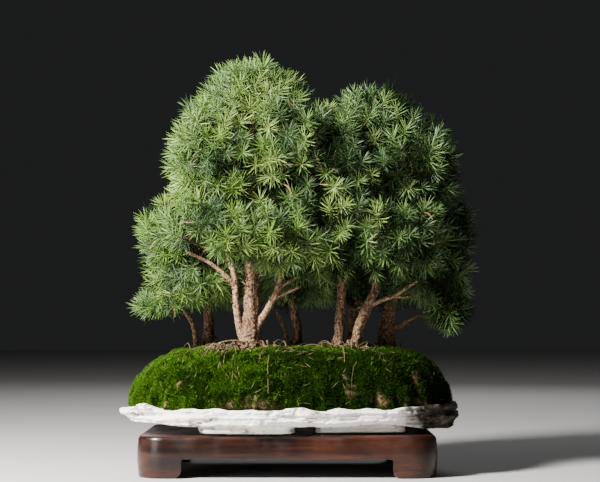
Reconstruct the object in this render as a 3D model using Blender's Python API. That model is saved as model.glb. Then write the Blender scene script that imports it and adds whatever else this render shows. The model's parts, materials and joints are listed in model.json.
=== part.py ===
"""Spruce bonsai group planting.

Seven dwarf spruces share one root pad in a mossy mound. The mound fills a white stone slab,
and the slab lies on a low wooden stand with rounded corners.

Lengths are in metres. +Z is up, z = 0 is the surface the stand is on, and the front faces -Y.
"""

import math
import random

import bmesh
import bpy
from mathutils import Matrix, Vector, noise

GAP = 0.0003          # clearance kept between neighbouring solids
SEED = 20

# Stand: a rounded board on four corner legs joined by aprons.
STAND_X = -0.0155
STAND_WIDTH = 0.286
STAND_DEPTH = 0.190
STAND_HEIGHT = 0.040
STAND_CORNER = 0.027
BOARD_THICKNESS = 0.009
BOARD_ROUND = 0.0045
LEG_ARM = 0.0435
LEG_WALL = 0.016
LEG_FOOT_ROUND = 0.007
APRON_BOTTOM = 0.018
APRON_THICKNESS = 0.014
CORNER_STEPS = 6              # straight pieces in each rounded corner
EDGE_STEPS = 3                # straight pieces in each rounded edge

# Everything is drawn from a point between the two crowns. This move puts the middle of the whole
# group's box over the origin.
GROUP_SHIFT = (0.00545, 0.00174, 0.0)

# Stone slab: an irregular oval plate with two lower layers that it lies on.
SLAB_X = -0.0145
SLAB_LENGTH = 0.338
SLAB_DEPTH = 0.214
SLAB_BOTTOM = 0.0490
SLAB_TOP = 0.0642
SLAB_SQUARENESS = 2.5
SLAB_STEPS = 60
SLAB_LOBES = ((3, 0.014, 0.6), (5, 0.011, 2.0), (11, 0.008, 1.1), (17, 0.005, 0.0))   # waves, share, phase
SLAB_RIPPLES = ((9, 1.0, 1.0), (14, 0.8, 2.3))     # waves, strength, how fast the phase turns
RIPPLE_SHARE = 0.006
RIPPLE_HEIGHT = 0.0007
LEDGE_OVERLAP = 0.0015
LEDGE_BACK = 0.056
LEDGE_SQUARENESS = 8
LEDGE_STEPS = 24
LEDGE_LEFT = (-0.101, -0.0075, -0.0930)             # two ends along X, and the front
LEDGE_RIGHT = (0.009, 0.099, -0.0770)

# Moss mound: a steep-sided, flat-topped dome inside the slab's rim.
MOUND_SHARE = 0.95            # its outline as a share of the slab's
MOUND_OVERHANG = 0.010        # how much more of the slab it covers at the right-hand end
MOUND_HEIGHT = 0.060
MOUND_FULLNESS = 7.0
MOUND_SHOULDER = 0.7          # below 1 it rounds the top and steepens the side
MOUND_CUSHION = 0.0022        # height of the moss cushions
MOUND_CUSHION_SIZE = 0.028
MOUND_EDGE = 0.0030
MOUND_RINGS = (0.13, 0.27, 0.40, 0.52, 0.62, 0.71, 0.79, 0.86, 0.92, 0.97, 1.0)
MOUND_STEPS = 60
SOCKET_DEPTH = 0.004          # how far a trunk's foot is sunk in the moss
SOCKET_STEPS = 12

BARK_BULGE = 1.3              # how far a bough's foot stands out from its parent's axis, in radii
TAPER_POWER = 1.5             # a limb keeps its girth at first and thins towards its tip
FLARE_DECAY = 9               # how soon a foot's flare dies out along the limb

# Foliage: how far the core, the twigs and the sprays of needles fill a mass.
CORE_SHARE = 0.77
SPRAY_LENGTH = 0.042
SPRAY_WIDTH = 0.0100
SPRAY_BELLY = 0.42            # where a spray is widest, as a share of its length
TWIG_WIDTH = 0.0016
TWIG_ROOT = 0.5               # where a twig begins, as a share of the way to the core's skin
TWIG_END = 0.30               # where a twig ends inside its spray
STEM_WIDTH = 0.0020
STEM_COLLAR = 0.007           # how far a stem runs straight out of its bark before it turns
TIP_TOLERANCE = 0.010         # how far outside a mass's walls a tip may be and still carry it
STEM_SPACING = 0.0055         # the least distance between two stems' feet
STEM_LEAST_RISE = 0.004       # how far a mass's centre is above the foot of a stem from a trunk's side
STEM_CLIMB = 0.35             # how steeply such a stem leaves the trunk
ENTRY_REACH = 1.15            # how near a limb's tip must be to carry a mass, in the mass's reaches
ENTRY_TURN = -0.3             # the least cosine between a limb's tip and the way to the centre
NEIGHBOUR_RANGE = 1.2         # how far off a neighbour may be and still limit a mass, in reaches
WALL_RANGE = (0.25, 0.75)     # the wall between two masses stays within these shares of the way
SPRAYS_PER_MASS = 27
SPRAY_SIZES = (0.85, 1.10)
SPRAY_REACH = (0.97, 1.01)
SPRAY_TRIES = (1.0, 0.88, 0.77)   # a spray with no room is tried again nearer the centre
SPRAY_NUDGE = 0.12
BOUNDARY = 0.0004             # half the space left between two masses
MOSS_CLEARANCE = 0.004        # the least height of a spray's tip above the moss

BARK_BROWN = (0.165, 0.085, 0.050)
BARK_PALE = (0.330, 0.205, 0.140)
NEEDLE_GREEN = (0.105, 0.215, 0.075)
MOSS_GREEN = (0.095, 0.190, 0.020)
STONE_WHITE = (0.800, 0.765, 0.715)
WOOD_RED = (0.110, 0.040, 0.026)


def clear_scene():
    """Remove the objects that a new file starts with."""
    for item in list(bpy.data.objects):
        bpy.data.objects.remove(item, do_unlink=True)


def plain_material(name, colour, roughness):
    """One Principled material in a single colour."""
    material = bpy.data.materials.new(name)
    material.use_nodes = True
    shader = material.node_tree.nodes["Principled BSDF"]
    shader.inputs["Base Color"].default_value = (*colour, 1.0)
    shader.inputs["Roughness"].default_value = roughness
    shader.inputs["Metallic"].default_value = 0.0
    return material


def add_object(name, mesh, colour, roughness, smooth_angle=None):
    """Put a finished mesh in the scene as one named sub-part."""
    if smooth_angle is not None:
        mesh.shade_smooth()
        mesh.set_sharp_from_angle(angle=math.radians(smooth_angle))
    item = bpy.data.objects.new(name, mesh)
    mesh.materials.clear()
    mesh.materials.append(plain_material(name + "_finish", colour, roughness))
    bpy.context.scene.collection.objects.link(item)
    return item


def mesh_from_bmesh(name, shape):
    """Turn a bmesh into a mesh with its faces pointing out."""
    bmesh.ops.recalc_face_normals(shape, faces=shape.faces)
    mesh = bpy.data.meshes.new(name)
    shape.to_mesh(mesh)
    shape.free()
    return mesh


def loft(name, rings):
    """A closed body through rings of equal point counts, with a flat cap at each end."""
    shape = bmesh.new()
    loops = [[shape.verts.new(point) for point in ring] for ring in rings]
    count = len(loops[0])
    for lower, upper in zip(loops, loops[1:]):
        for i in range(count):
            j = (i + 1) % count
            shape.faces.new((lower[i], lower[j], upper[j], upper[i]))
    shape.faces.new(list(reversed(loops[0])))
    shape.faces.new(loops[-1])
    return mesh_from_bmesh(name, shape)


def capped_loft(name, rings, bottom, top):
    """A closed body through rings, with a centre point closing each end as a fan."""
    shape = bmesh.new()
    loops = [[shape.verts.new(point) for point in ring] for ring in rings]
    count = len(loops[0])
    low = shape.verts.new(bottom)
    high = shape.verts.new(top)
    for i in range(count):
        j = (i + 1) % count
        shape.faces.new((low, loops[0][j], loops[0][i]))
        shape.faces.new((loops[-1][i], loops[-1][j], high))
        for lower, upper in zip(loops, loops[1:]):
            shape.faces.new((lower[i], lower[j], upper[j], upper[i]))
    return mesh_from_bmesh(name, shape)


def is_closed(mesh):
    """Whether every edge of a mesh joins exactly two faces."""
    shape = bmesh.new()
    shape.from_mesh(mesh)
    closed = len(shape.faces) > 0 and all(edge.is_manifold for edge in shape.edges)
    shape.free()
    return closed


def combine(item, others, operation):
    """Join other objects to an object, or cut them from it, with one applied Boolean."""
    group = bpy.data.collections.new(item.name + "_operands")
    bpy.context.scene.collection.children.link(group)
    for other in others:
        bpy.context.scene.collection.objects.unlink(other)
        group.objects.link(other)
        other.hide_render = True
        other.display_type = "WIRE"
    modifier = item.modifiers.new("combine", "BOOLEAN")
    modifier.operation = operation
    modifier.operand_type = "COLLECTION"
    modifier.collection = group
    for solver in ("EXACT", "MANIFOLD"):
        modifier.solver = solver
        bpy.context.view_layer.update()
        solved = item.evaluated_get(bpy.context.evaluated_depsgraph_get())
        mesh = bpy.data.meshes.new_from_object(solved)
        if is_closed(mesh):
            break
    item.modifiers.clear()
    item.data = mesh
    for other in others:
        bpy.data.objects.remove(other, do_unlink=True)
    bpy.data.collections.remove(group)


# ---------------------------------------------------------------------------- stand

def rounded_rectangle(width, depth, radius, steps):
    """The points of a rectangle with arcs for corners, round its own centre."""
    points = []
    for corner in range(4):
        turn = corner * math.pi / 2
        side_x = 1 if corner in (0, 3) else -1
        side_y = 1 if corner in (0, 1) else -1
        centre_x = side_x * (width / 2 - radius)
        centre_y = side_y * (depth / 2 - radius)
        for step in range(steps + 1):
            angle = turn + step / steps * math.pi / 2
            points.append((centre_x + radius * math.cos(angle), centre_y + radius * math.sin(angle)))
    return points


def stand_board():
    """The board, with its upper edge rounded over."""
    bottom = STAND_HEIGHT - BOARD_THICKNESS
    levels = [(bottom, 0.0)]
    for step in range(EDGE_STEPS + 1):
        angle = step / EDGE_STEPS * math.pi / 2
        level = STAND_HEIGHT - BOARD_ROUND * (1 - math.sin(angle))
        levels.append((level, BOARD_ROUND * (1 - math.cos(angle))))
    rings = []
    for level, inset in levels:
        outline = rounded_rectangle(
            STAND_WIDTH - 2 * inset, STAND_DEPTH - 2 * inset, STAND_CORNER - inset, CORNER_STEPS)
        rings.append([(STAND_X + x, y, level) for x, y in outline])
    add_object("stand_board", loft("stand_board", rings), WOOD_RED, 0.25, 30)


def leg_outline(arm):
    """Plan of a leg from its outer corner inwards, as a block with a cut inner corner."""
    points = [(arm, 0.0), (arm, LEG_WALL), (LEG_WALL, arm), (0.0, arm)]
    for step in range(CORNER_STEPS + 1):
        angle = step / CORNER_STEPS * math.pi / 2
        points.append((STAND_CORNER * (1 - math.cos(angle)), STAND_CORNER * (1 - math.sin(angle))))
    return points


def stand_legs():
    """Four corner legs whose feet are rounded on the inner sides."""
    top = STAND_HEIGHT - BOARD_THICKNESS - GAP
    levels = []
    for step in range(EDGE_STEPS + 1):
        angle = step / EDGE_STEPS * math.pi / 2
        arm = LEG_ARM - LEG_FOOT_ROUND * (1 - math.sin(angle))
        levels.append((LEG_FOOT_ROUND * (1 - math.cos(angle)), arm))
    levels.append((top, LEG_ARM))
    for name, side_x, side_y in (
            ("front_left", -1, -1), ("front_right", 1, -1), ("back_left", -1, 1), ("back_right", 1, 1)):
        rings = []
        for level, arm in levels:
            rings.append([
                (STAND_X + side_x * (STAND_WIDTH / 2 - x), side_y * (STAND_DEPTH / 2 - y), level)
                for x, y in leg_outline(arm)])
        add_object("stand_leg_" + name, loft("stand_leg", rings), WOOD_RED, 0.25, 30)


def stand_aprons():
    """Four straight aprons between the legs, flush with their outer faces."""
    top = STAND_HEIGHT - BOARD_THICKNESS - GAP
    long_half = STAND_WIDTH / 2 - LEG_ARM - GAP
    short_half = STAND_DEPTH / 2 - LEG_ARM - GAP
    outer_x = STAND_WIDTH / 2
    outer_y = STAND_DEPTH / 2
    spans = {
        "front": (-long_half, long_half, -outer_y, -outer_y + APRON_THICKNESS),
        "back": (-long_half, long_half, outer_y - APRON_THICKNESS, outer_y),
        "left": (-outer_x, -outer_x + APRON_THICKNESS, -short_half, short_half),
        "right": (outer_x - APRON_THICKNESS, outer_x, -short_half, short_half),
    }
    for name, (x0, x1, y0, y1) in spans.items():
        corners = ((x0, y0), (x1, y0), (x1, y1), (x0, y1))
        rings = [[(STAND_X + x, y, level) for x, y in corners] for level in (APRON_BOTTOM, top)]
        add_object("stand_apron_" + name, loft("stand_apron", rings), WOOD_RED, 0.25)


# ---------------------------------------------------------------------------- slab and mound

def superellipse(angle, half_length, half_depth, squareness):
    """Distance from the centre to a squarish oval in one direction."""
    term_x = abs(math.cos(angle) / half_length) ** squareness
    term_y = abs(math.sin(angle) / half_depth) ** squareness
    return (term_x + term_y) ** (-1 / squareness)


def slab_reach(angle):
    """The slab's broken outline: a squarish oval with lobes and small bites."""
    reach = superellipse(angle, SLAB_LENGTH / 2, SLAB_DEPTH / 2, SLAB_SQUARENESS)
    lobes = sum(share * math.cos(waves * angle + phase) for waves, share, phase in SLAB_LOBES)
    ends = abs(math.cos(angle)) ** 6
    return reach * (1 + lobes * (1 - ends))


def mound_reach(angle):
    """The mound's outline: inside the slab's, and nearly up to it at the right-hand end."""
    return slab_reach(angle) * (MOUND_SHARE + MOUND_OVERHANG * max(0.0, math.cos(angle)) ** 2)


def slab_ring(share, level, wobble, phase):
    """One ring of the slab, with its own unevenness in plan and height."""
    ring = []
    for step in range(SLAB_STEPS):
        angle = step / SLAB_STEPS * 2 * math.pi
        ends = abs(math.cos(angle)) ** 8
        ripple = sum(strength * math.cos(waves * angle + turn * phase)
                     for waves, strength, turn in SLAB_RIPPLES)
        reach = slab_reach(angle) * share * (1 + RIPPLE_SHARE * wobble * ripple * (1 - ends))
        height = level + RIPPLE_HEIGHT * wobble * math.sin(7 * angle + phase)
        ring.append((SLAB_X + reach * math.cos(angle), reach * math.sin(angle), height))
    return ring


def ledge(name, left, right, front):
    """A lower layer of the stone: a flat plate with a broken edge."""
    half_length = (right - left) / 2
    half_depth = (LEDGE_BACK - front) / 2
    centre_x = (left + right) / 2
    centre_y = (LEDGE_BACK + front) / 2
    levels = (
        (0.985, STAND_HEIGHT + GAP),
        (1.0, STAND_HEIGHT + 0.004),
        (0.97, SLAB_BOTTOM + LEDGE_OVERLAP))
    rings = []
    for share, level in levels:
        ring = []
        for step in range(LEDGE_STEPS):
            angle = step / LEDGE_STEPS * 2 * math.pi
            reach = share * superellipse(angle, half_length, half_depth, LEDGE_SQUARENESS)
            reach *= 1 - 0.012 * (1 + math.cos(8 * angle + 40 * centre_x))
            ring.append((centre_x + reach * math.cos(angle), centre_y + reach * math.sin(angle), level))
        rings.append(ring)
    return add_object(name, loft(name, rings), STONE_WHITE, 0.85)


def stone_slab():
    """The slab: a thin plate with layered edges, joined to its two lower layers."""
    # Each ring's share of the outline, its level, how uneven it is, and where its ripples start.
    profile = (
        (0.90, SLAB_BOTTOM, 0.0, 0.0),
        (0.965, 0.0525, 1.0, 0.4),
        (0.990, 0.0560, 1.4, 1.9),
        (0.975, 0.0577, 1.0, 2.2),
        (1.000, 0.0600, 1.2, 3.7),
        (0.985, 0.0630, 0.8, 5.0),
        (0.972, SLAB_TOP, 0.0, 0.0))
    rings = [slab_ring(*level) for level in profile]
    mesh = capped_loft("stone_slab", rings, (SLAB_X, 0, SLAB_BOTTOM), (SLAB_X, 0, SLAB_TOP))
    slab = add_object("stone_slab", mesh, STONE_WHITE, 0.85)
    combine(slab, [ledge("ledge_left", *LEDGE_LEFT), ledge("ledge_right", *LEDGE_RIGHT)], "UNION")


def mound_level(x, y):
    """Height of the moss over a point of the slab."""
    distance = math.hypot(x - SLAB_X, y)
    angle = math.atan2(y, x - SLAB_X)
    share = min(1.0, distance / mound_reach(angle))
    dome = (MOUND_HEIGHT - MOUND_EDGE) * (1 - share ** MOUND_FULLNESS) ** MOUND_SHOULDER
    spot = Vector((x, y, 0.0)) / MOUND_CUSHION_SIZE
    cushion = MOUND_CUSHION * noise.noise(spot) * (1 - share ** 8)
    return SLAB_TOP + GAP + MOUND_EDGE + dome + cushion


def moss_mound(feet):
    """The mound, with a shallow socket for each foot that stands in it."""
    base = SLAB_TOP + GAP
    rings = []
    for share in (0.985,) + tuple(reversed(MOUND_RINGS)):
        ring = []
        for step in range(MOUND_STEPS):
            angle = step / MOUND_STEPS * 2 * math.pi
            reach = mound_reach(angle) * share
            x = SLAB_X + reach * math.cos(angle)
            y = reach * math.sin(angle)
            ring.append((x, y, mound_level(x, y) if rings else base))
        rings.append(ring)
    top = (SLAB_X, 0, mound_level(SLAB_X, 0))
    mesh = capped_loft("moss_mound", rings, (SLAB_X, 0, base), top)
    mound = add_object("moss_mound", mesh, MOSS_GREEN, 0.95)
    cutters = []
    for spot, radius in feet:
        rings = []
        for level in (spot.z - GAP, spot.z + 0.03):
            rings.append([
                (spot.x + radius * math.cos(step / SOCKET_STEPS * 2 * math.pi),
                 spot.y + radius * math.sin(step / SOCKET_STEPS * 2 * math.pi), level)
                for step in range(SOCKET_STEPS)])
        cutters.append(add_object("socket", loft("socket", rings), MOSS_GREEN, 0.95))
    combine(mound, cutters, "DIFFERENCE")


# ---------------------------------------------------------------------------- trunks and boughs

def along(points, share):
    """A point on the smooth curve through a few points, at a share of its way."""
    place = share * (len(points) - 1)
    index = min(int(place), len(points) - 2)
    t = place - index
    p1 = points[index]
    p2 = points[index + 1]
    p0 = points[index - 1] if index > 0 else 2 * p1 - p2
    p3 = points[index + 2] if index + 2 < len(points) else 2 * p2 - p1
    return 0.5 * (2 * p1 + (p2 - p0) * t + (2 * p0 - 5 * p1 + 4 * p2 - p3) * t * t
                  + (3 * p1 - p0 - 3 * p2 + p3) * t * t * t)


def tube_rings(path, radii, sides, first_direction=None, lobes=0.0):
    """Rings square to a path, turned as little as possible from one to the next."""
    rings = []
    across = None
    for index, centre in enumerate(path):
        before = path[max(index - 1, 0)]
        after = path[min(index + 1, len(path) - 1)]
        tangent = (after - before).normalized()
        if index == 0 and first_direction is not None:
            tangent = first_direction
        if across is None:
            across = tangent.orthogonal()
        across = (across - across.dot(tangent) * tangent).normalized()
        other = tangent.cross(across)
        ring = []
        for step in range(sides):
            angle = step / sides * 2 * math.pi
            swell = 1 + lobes * math.cos(3 * angle + 0.7) * max(0.0, 1 - index / 3)
            radius = radii[index] * swell
            ring.append(centre + radius * (math.cos(angle) * across + math.sin(angle) * other))
        rings.append(ring)
    return rings


class Limb:
    """A trunk, stem or bough: one tapering limb along a smooth path."""

    def __init__(self, name, points, radii, rings, sides, first_direction=None, lobes=0.0,
                 colour=BARK_BROWN):
        self.name = name
        self.sides = sides
        self.first_direction = first_direction
        self.lobes = lobes
        self.colour = colour
        self.path = [along(points, i / (rings - 1)) for i in range(rings)]
        start, end, flare = radii
        self.radii = []
        for i in range(rings):
            share = i / (rings - 1)
            taper = start + (end - start) * share ** TAPER_POWER
            self.radii.append(taper * (1 + flare * math.exp(-share * FLARE_DECAY)))

    def segments(self):
        """The limb as straight pieces, each with the larger of its two end radii."""
        for i in range(len(self.path) - 1):
            yield self.path[i], self.path[i + 1], max(self.radii[i], self.radii[i + 1])

    def build(self):
        rings = tube_rings(self.path, self.radii, self.sides, self.first_direction, self.lobes)
        add_object(self.name, loft(self.name, rings), self.colour, 0.9, 40)


def trunk(name, points, radii, flare, colour=BARK_BROWN):
    """A trunk or stem that stands in the moss, from a flat cut foot to its tip."""
    spots = [Vector(point) for point in points]
    spots[0].z = mound_level(spots[0].x, spots[0].y) - SOCKET_DEPTH
    spots.insert(1, spots[0].lerp(spots[1], 0.3))
    return Limb(name, spots, (*radii, flare), 12, 10, Vector((0, 0, 1)), 0.08, colour)


def bough(name, parent, points, radii, colour=BARK_PALE):
    """A bough that leaves the side of another limb, just clear of its bark."""
    spots = [Vector(point) for point in points]
    aim = spots[0]
    nearest = min(range(len(parent.path)), key=lambda i: (parent.path[i] - aim).length)
    low = max(0, nearest - 1)
    high = min(len(parent.path) - 1, nearest + 1)
    axis = (parent.path[high] - parent.path[low]).normalized()
    centre = parent.path[low] + axis * (aim - parent.path[low]).dot(axis)
    direction = (aim - centre).normalized()
    thickness = max(parent.radii[low:high + 1])
    start = centre + direction * (thickness * BARK_BULGE + GAP)
    collar = start + direction * radii[0]
    return Limb(name, [start, collar] + spots[1:], (*radii, 0.2), 8, 7, direction, 0.0, colour)


def make_limbs():
    """Every trunk, stem and bough, by name."""
    limbs = {}

    def keep(limb):
        limbs[limb.name] = limb
        return limb

    keep(trunk("trunk_rear_left", [
        (-0.097, 0.025, 0), (-0.096, 0.025, 0.148), (-0.100, 0.021, 0.190), (-0.110, 0.012, 0.262)],
        (0.0074, 0.0028), 0.25))
    keep(trunk("stem_far_left", [
        (-0.1075, 0.0145, 0), (-0.1100, 0.015, 0.139), (-0.1145, 0.014, 0.150), (-0.127, 0.004, 0.167)],
        (0.0030, 0.0018), 0.2, BARK_PALE))
    main = keep(trunk("trunk_main", [
        (-0.0524, -0.035, 0), (-0.0515, -0.033, 0.176), (-0.049, -0.018, 0.272), (-0.050, -0.006, 0.322)],
        (0.0086, 0.0032), 0.45))
    secondary = keep(bough("bough_main_left", main, [
        (-0.0635, -0.038, 0.136), (-0.0655, -0.040, 0.163), (-0.0670, -0.043, 0.190), (-0.0735, -0.046, 0.211)],
        (0.0031, 0.0022)))
    keep(bough("bough_far_left", secondary, [
        (-0.072, -0.044, 0.188), (-0.090, -0.045, 0.203), (-0.113, -0.045, 0.2145)],
        (0.0021, 0.0013)))
    right = keep(bough("bough_main_right", main, [
        (-0.042, -0.037, 0.148), (-0.0292, -0.044, 0.169), (-0.024, -0.048, 0.182), (-0.0219, -0.050, 0.194)],
        (0.0030, 0.0020)))
    keep(bough("bough_right_fork_upper", right, [
        (-0.021, -0.046, 0.1815), (-0.012, -0.044, 0.187), (-0.0035, -0.042, 0.191)],
        (0.0015, 0.0011)))
    keep(bough("bough_right_fork_lower", right, [
        (-0.024, -0.045, 0.171), (-0.014, -0.048, 0.176), (-0.0035, -0.050, 0.181)],
        (0.0015, 0.0011)))
    keep(trunk("trunk_rear_middle", [
        (-0.0070, 0.035, 0), (-0.0065, 0.034, 0.140), (-0.0100, 0.032, 0.172), (0.003, 0.030, 0.230),
        (0.008, 0.028, 0.298)],
        (0.0056, 0.0026), 0.15))
    keep(trunk("stem_middle_left", [
        (-0.0160, 0.028, 0), (-0.0180, 0.028, 0.136), (-0.0239, 0.0275, 0.150), (-0.0275, 0.027, 0.158)],
        (0.0022, 0.0014), 0.2, BARK_PALE))
    keep(trunk("trunk_front_right", [
        (0.0340, -0.018, 0), (0.0378, -0.020, 0.174), (0.037, -0.021, 0.230), (0.035, -0.022, 0.292)],
        (0.0057, 0.0026), 0.25))
    leaning = keep(trunk("trunk_leaning", [
        (0.0490, -0.034, 0), (0.0555, -0.033, 0.145), (0.0645, -0.034, 0.165), (0.0709, -0.034, 0.185),
        (0.072, -0.020, 0.245), (0.071, -0.009, 0.298)],
        (0.0056, 0.0026), 0.25))
    upper = keep(bough("bough_right_upper", leaning, [
        (0.078, -0.036, 0.168), (0.0895, -0.038, 0.172), (0.101, -0.041, 0.180), (0.111, -0.043, 0.1865)],
        (0.0021, 0.0013)))
    keep(bough("bough_right_lower", upper, [
        (0.095, -0.034, 0.171), (0.104, -0.031, 0.1715), (0.1146, -0.028, 0.174)],
        (0.0014, 0.0010)))
    rear = keep(trunk("trunk_rear_right", [
        (0.0854, 0.025, 0), (0.0849, 0.025, 0.143), (0.0889, 0.024, 0.161), (0.105, 0.018, 0.220),
        (0.120, 0.009, 0.270)],
        (0.0090, 0.0030), 0.50))
    keep(bough("bough_far_right", rear, [
        (0.098, 0.021, 0.142), (0.104, 0.017, 0.147), (0.1152, 0.010, 0.1535)],
        (0.0021, 0.0014)))
    keep(trunk("trunk_rear_shaded", [
        (0.0487, 0.038, 0), (0.0530, 0.041, 0.175), (0.061, 0.046, 0.235), (0.068, 0.050, 0.285)],
        (0.0055, 0.0026), 0.25))
    return limbs


# ---------------------------------------------------------------------------- foliage

# Each crown is built up in tiers round its own middle line. A tier has a level, the distance of
# its masses from the middle line, their number, the bearing of the first and the step to the
# next in degrees (0 is +X, 90 is +Y), and each mass's radius and half height.
CROWNS = {
    "left": {
        "x": -0.050,
        "tiers": {
            "apex": (0.362, 0.000, 1, 0, 0, 0.058, 0.055),
            "tuft": (0.169, 0.100, 1, 186, 0, 0.026, 0.020),
            "shoulder": (0.312, 0.046, 4, 45, 90, 0.056, 0.063),
            "belly": (0.239, 0.062, 5, 54, 63, 0.058, 0.050),
            "skirt": (0.198, 0.054, 4, 185, -60, 0.052, 0.039),
        },
    },
    "right": {
        "x": 0.068,
        "tiers": {
            "apex": (0.335, 0.000, 1, 0, 0, 0.056, 0.055),
            "tuft": (0.160, 0.080, 1, -4, 0, 0.024, 0.026),
            "shoulder": (0.298, 0.050, 4, 45, 90, 0.055, 0.060),
            "belly": (0.234, 0.054, 5, 126, -63, 0.054, 0.053),
            "skirt": (0.197, 0.052, 3, -8, 62, 0.051, 0.039),
        },
    },
}


class Mass:
    """One mass of foliage: an ellipsoid of twigs and sprays round a smaller core."""

    def __init__(self, name, centre, radius, half_height):
        self.name = name
        self.centre = centre
        self.radii = Vector((radius, radius, half_height))
        self.walls = []
        self.stem = None

    def reach(self, direction):
        """Distance from the centre to the ellipsoid in one direction."""
        scaled = Vector((direction[i] / self.radii[i] for i in range(3)))
        return 1 / scaled.length

    def add_wall(self, point, inward):
        self.walls.append((point, inward))

    def holds(self, point, margin=0.0):
        """Whether a point is inside every wall to a neighbouring mass, by a margin."""
        return all((point - spot).dot(inward) >= margin for spot, inward in self.walls)


def crown_masses():
    """The masses of both crowns, tier by tier."""
    masses = []
    for side, crown in CROWNS.items():
        for tier, (level, ring, count, first, step, radius, half_height) in crown["tiers"].items():
            for i in range(count):
                bearing = math.radians(first + i * step)
                centre = Vector((crown["x"] + ring * math.cos(bearing), ring * math.sin(bearing), level))
                name = f"foliage_{side}_{tier}" + (f"_{i + 1}" if count > 1 else "")
                masses.append(Mass(name, centre, radius, half_height))
    return masses


def part_masses(masses):
    """Stand a wall between each pair of masses that are close to each other."""
    for i, one in enumerate(masses):
        for other in masses[i + 1:]:
            offset = other.centre - one.centre
            distance = offset.length
            direction = offset / distance
            reach_one = one.reach(direction)
            reach_other = other.reach(-direction)
            if distance > NEIGHBOUR_RANGE * (reach_one + reach_other):
                continue
            middle = (distance ** 2 + reach_one ** 2 - reach_other ** 2) / (2 * distance)
            middle = min(max(middle, WALL_RANGE[0] * distance), WALL_RANGE[1] * distance)
            one.add_wall(one.centre + direction * (middle - BOUNDARY), -direction)
            other.add_wall(one.centre + direction * (middle + BOUNDARY), direction)


def nearest_on_segment(point, start, end):
    """The nearest point of a straight piece to a point."""
    run = end - start
    share = (point - start).dot(run) / run.length_squared
    return start + run * min(1.0, max(0.0, share))


def segment_gap(a0, a1, b0, b1):
    """The least distance between two straight pieces."""
    u = a1 - a0
    v = b1 - b0
    w = a0 - b0
    a, b, c, d, e = u.dot(u), u.dot(v), v.dot(v), u.dot(w), v.dot(w)
    bottom = a * c - b * b
    s = min(1.0, max(0.0, (b * e - c * d) / bottom)) if bottom > 1e-14 else 0.0
    on_b = nearest_on_segment(a0 + u * s, b0, b1)
    on_a = nearest_on_segment(on_b, a0, a1)
    return (on_a - nearest_on_segment(on_a, b0, b1)).length


def tip_stems(mass, limbs):
    """Stems that go on from the tips of limbs that reach into a mass."""
    for limb in limbs.values():
        tip = limb.path[-1]
        tangent = (tip - limb.path[-2]).normalized()
        offset = mass.centre - tip
        enters = offset.length < ENTRY_REACH * mass.reach(offset.normalized())
        if enters and offset.normalized().dot(tangent) > ENTRY_TURN:
            if mass.holds(tip, -TIP_TOLERANCE):
                yield offset.length, limb, tip + tangent * GAP, tangent


def side_stems(mass, limbs):
    """Stems that leave the sides of trunks below a mass's centre."""
    for limb in limbs.values():
        if not limb.name.startswith("trunk"):
            continue
        for i in range(2, len(limb.path) - 1):
            centre = limb.path[i]
            away = mass.centre - centre
            if away.z < STEM_LEAST_RISE:
                continue
            axis = (limb.path[i + 1] - limb.path[i]).normalized()
            direction = Vector((away.x, away.y, STEM_CLIMB * away.length)).normalized()
            direction = (direction - direction.dot(axis) * axis).normalized()
            start = centre + direction * (limb.radii[i] * BARK_BULGE + GAP)
            yield away.length, limb, start, direction


def choose_stems(masses, limbs):
    """Give each mass the shortest stem that is clear of the limbs and of the other stems."""
    chosen = []
    for mass in masses:
        options = sorted(tip_stems(mass, limbs), key=lambda option: option[0])
        options += sorted(side_stems(mass, limbs), key=lambda option: option[0])
        for _, limb, start, direction in options:
            elbow = start + direction * STEM_COLLAR
            path = [start, elbow, mass.centre.copy()]
            apart = all((start - other[0]).length > STEM_SPACING for other in chosen)
            off_stems = all(
                segment_gap(elbow, path[2], other[i], other[i + 1]) > 2 * STEM_WIDTH + 2 * GAP
                for other in chosen for i in (0, 1))
            off_limbs = all(
                segment_gap(elbow, path[2], low, high) > radius + STEM_WIDTH + GAP
                for other in limbs.values() for low, high, radius in other.segments())
            if apart and off_stems and off_limbs:
                break
        else:
            raise ValueError("no clear stem for " + mass.name)
        mass.stem = path
        chosen.append(path)


def tube(path, radii, sides, first_direction=None):
    """A closed tube through a few points."""
    return loft("tube", tube_rings(path, radii, sides, first_direction))


def spindle(root, tip, half_width):
    """A spray of needles: eight faces from a root to a tip, widest nearer the root."""
    direction = (tip - root).normalized()
    across = direction.orthogonal().normalized()
    other = direction.cross(across)
    middle = root.lerp(tip, SPRAY_BELLY)
    shape = bmesh.new()
    low = shape.verts.new(root)
    high = shape.verts.new(tip)
    ring = []
    for step in range(4):
        angle = step / 4 * 2 * math.pi
        ring.append(shape.verts.new(
            middle + half_width * (math.cos(angle) * across + math.sin(angle) * other)))
    for i in range(4):
        j = (i + 1) % 4
        shape.faces.new((low, ring[j], ring[i]))
        shape.faces.new((high, ring[i], ring[j]))
    return mesh_from_bmesh("spray", shape)


def core_walls(mass, obstacles):
    """The flat limits of a mass's core: its neighbours, and every limb and stem near it."""
    walls = list(mass.walls)
    for start, end, radius in obstacles:
        nearest = nearest_on_segment(mass.centre, start, end)
        away = mass.centre - nearest
        if away.length < NEIGHBOUR_RANGE * max(mass.radii):
            direction = away.normalized()
            walls.append((nearest + direction * (radius + 2 * GAP), direction))
    return walls


def core_reach(mass, walls, direction):
    """Distance from a mass's centre to the skin of its core in one direction."""
    reach = CORE_SHARE * mass.reach(direction)
    for spot, inward in walls:
        slope = -direction.dot(inward)
        if slope > 1e-6:
            reach = min(reach, (mass.centre - spot).dot(inward) / slope)
    return reach


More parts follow.
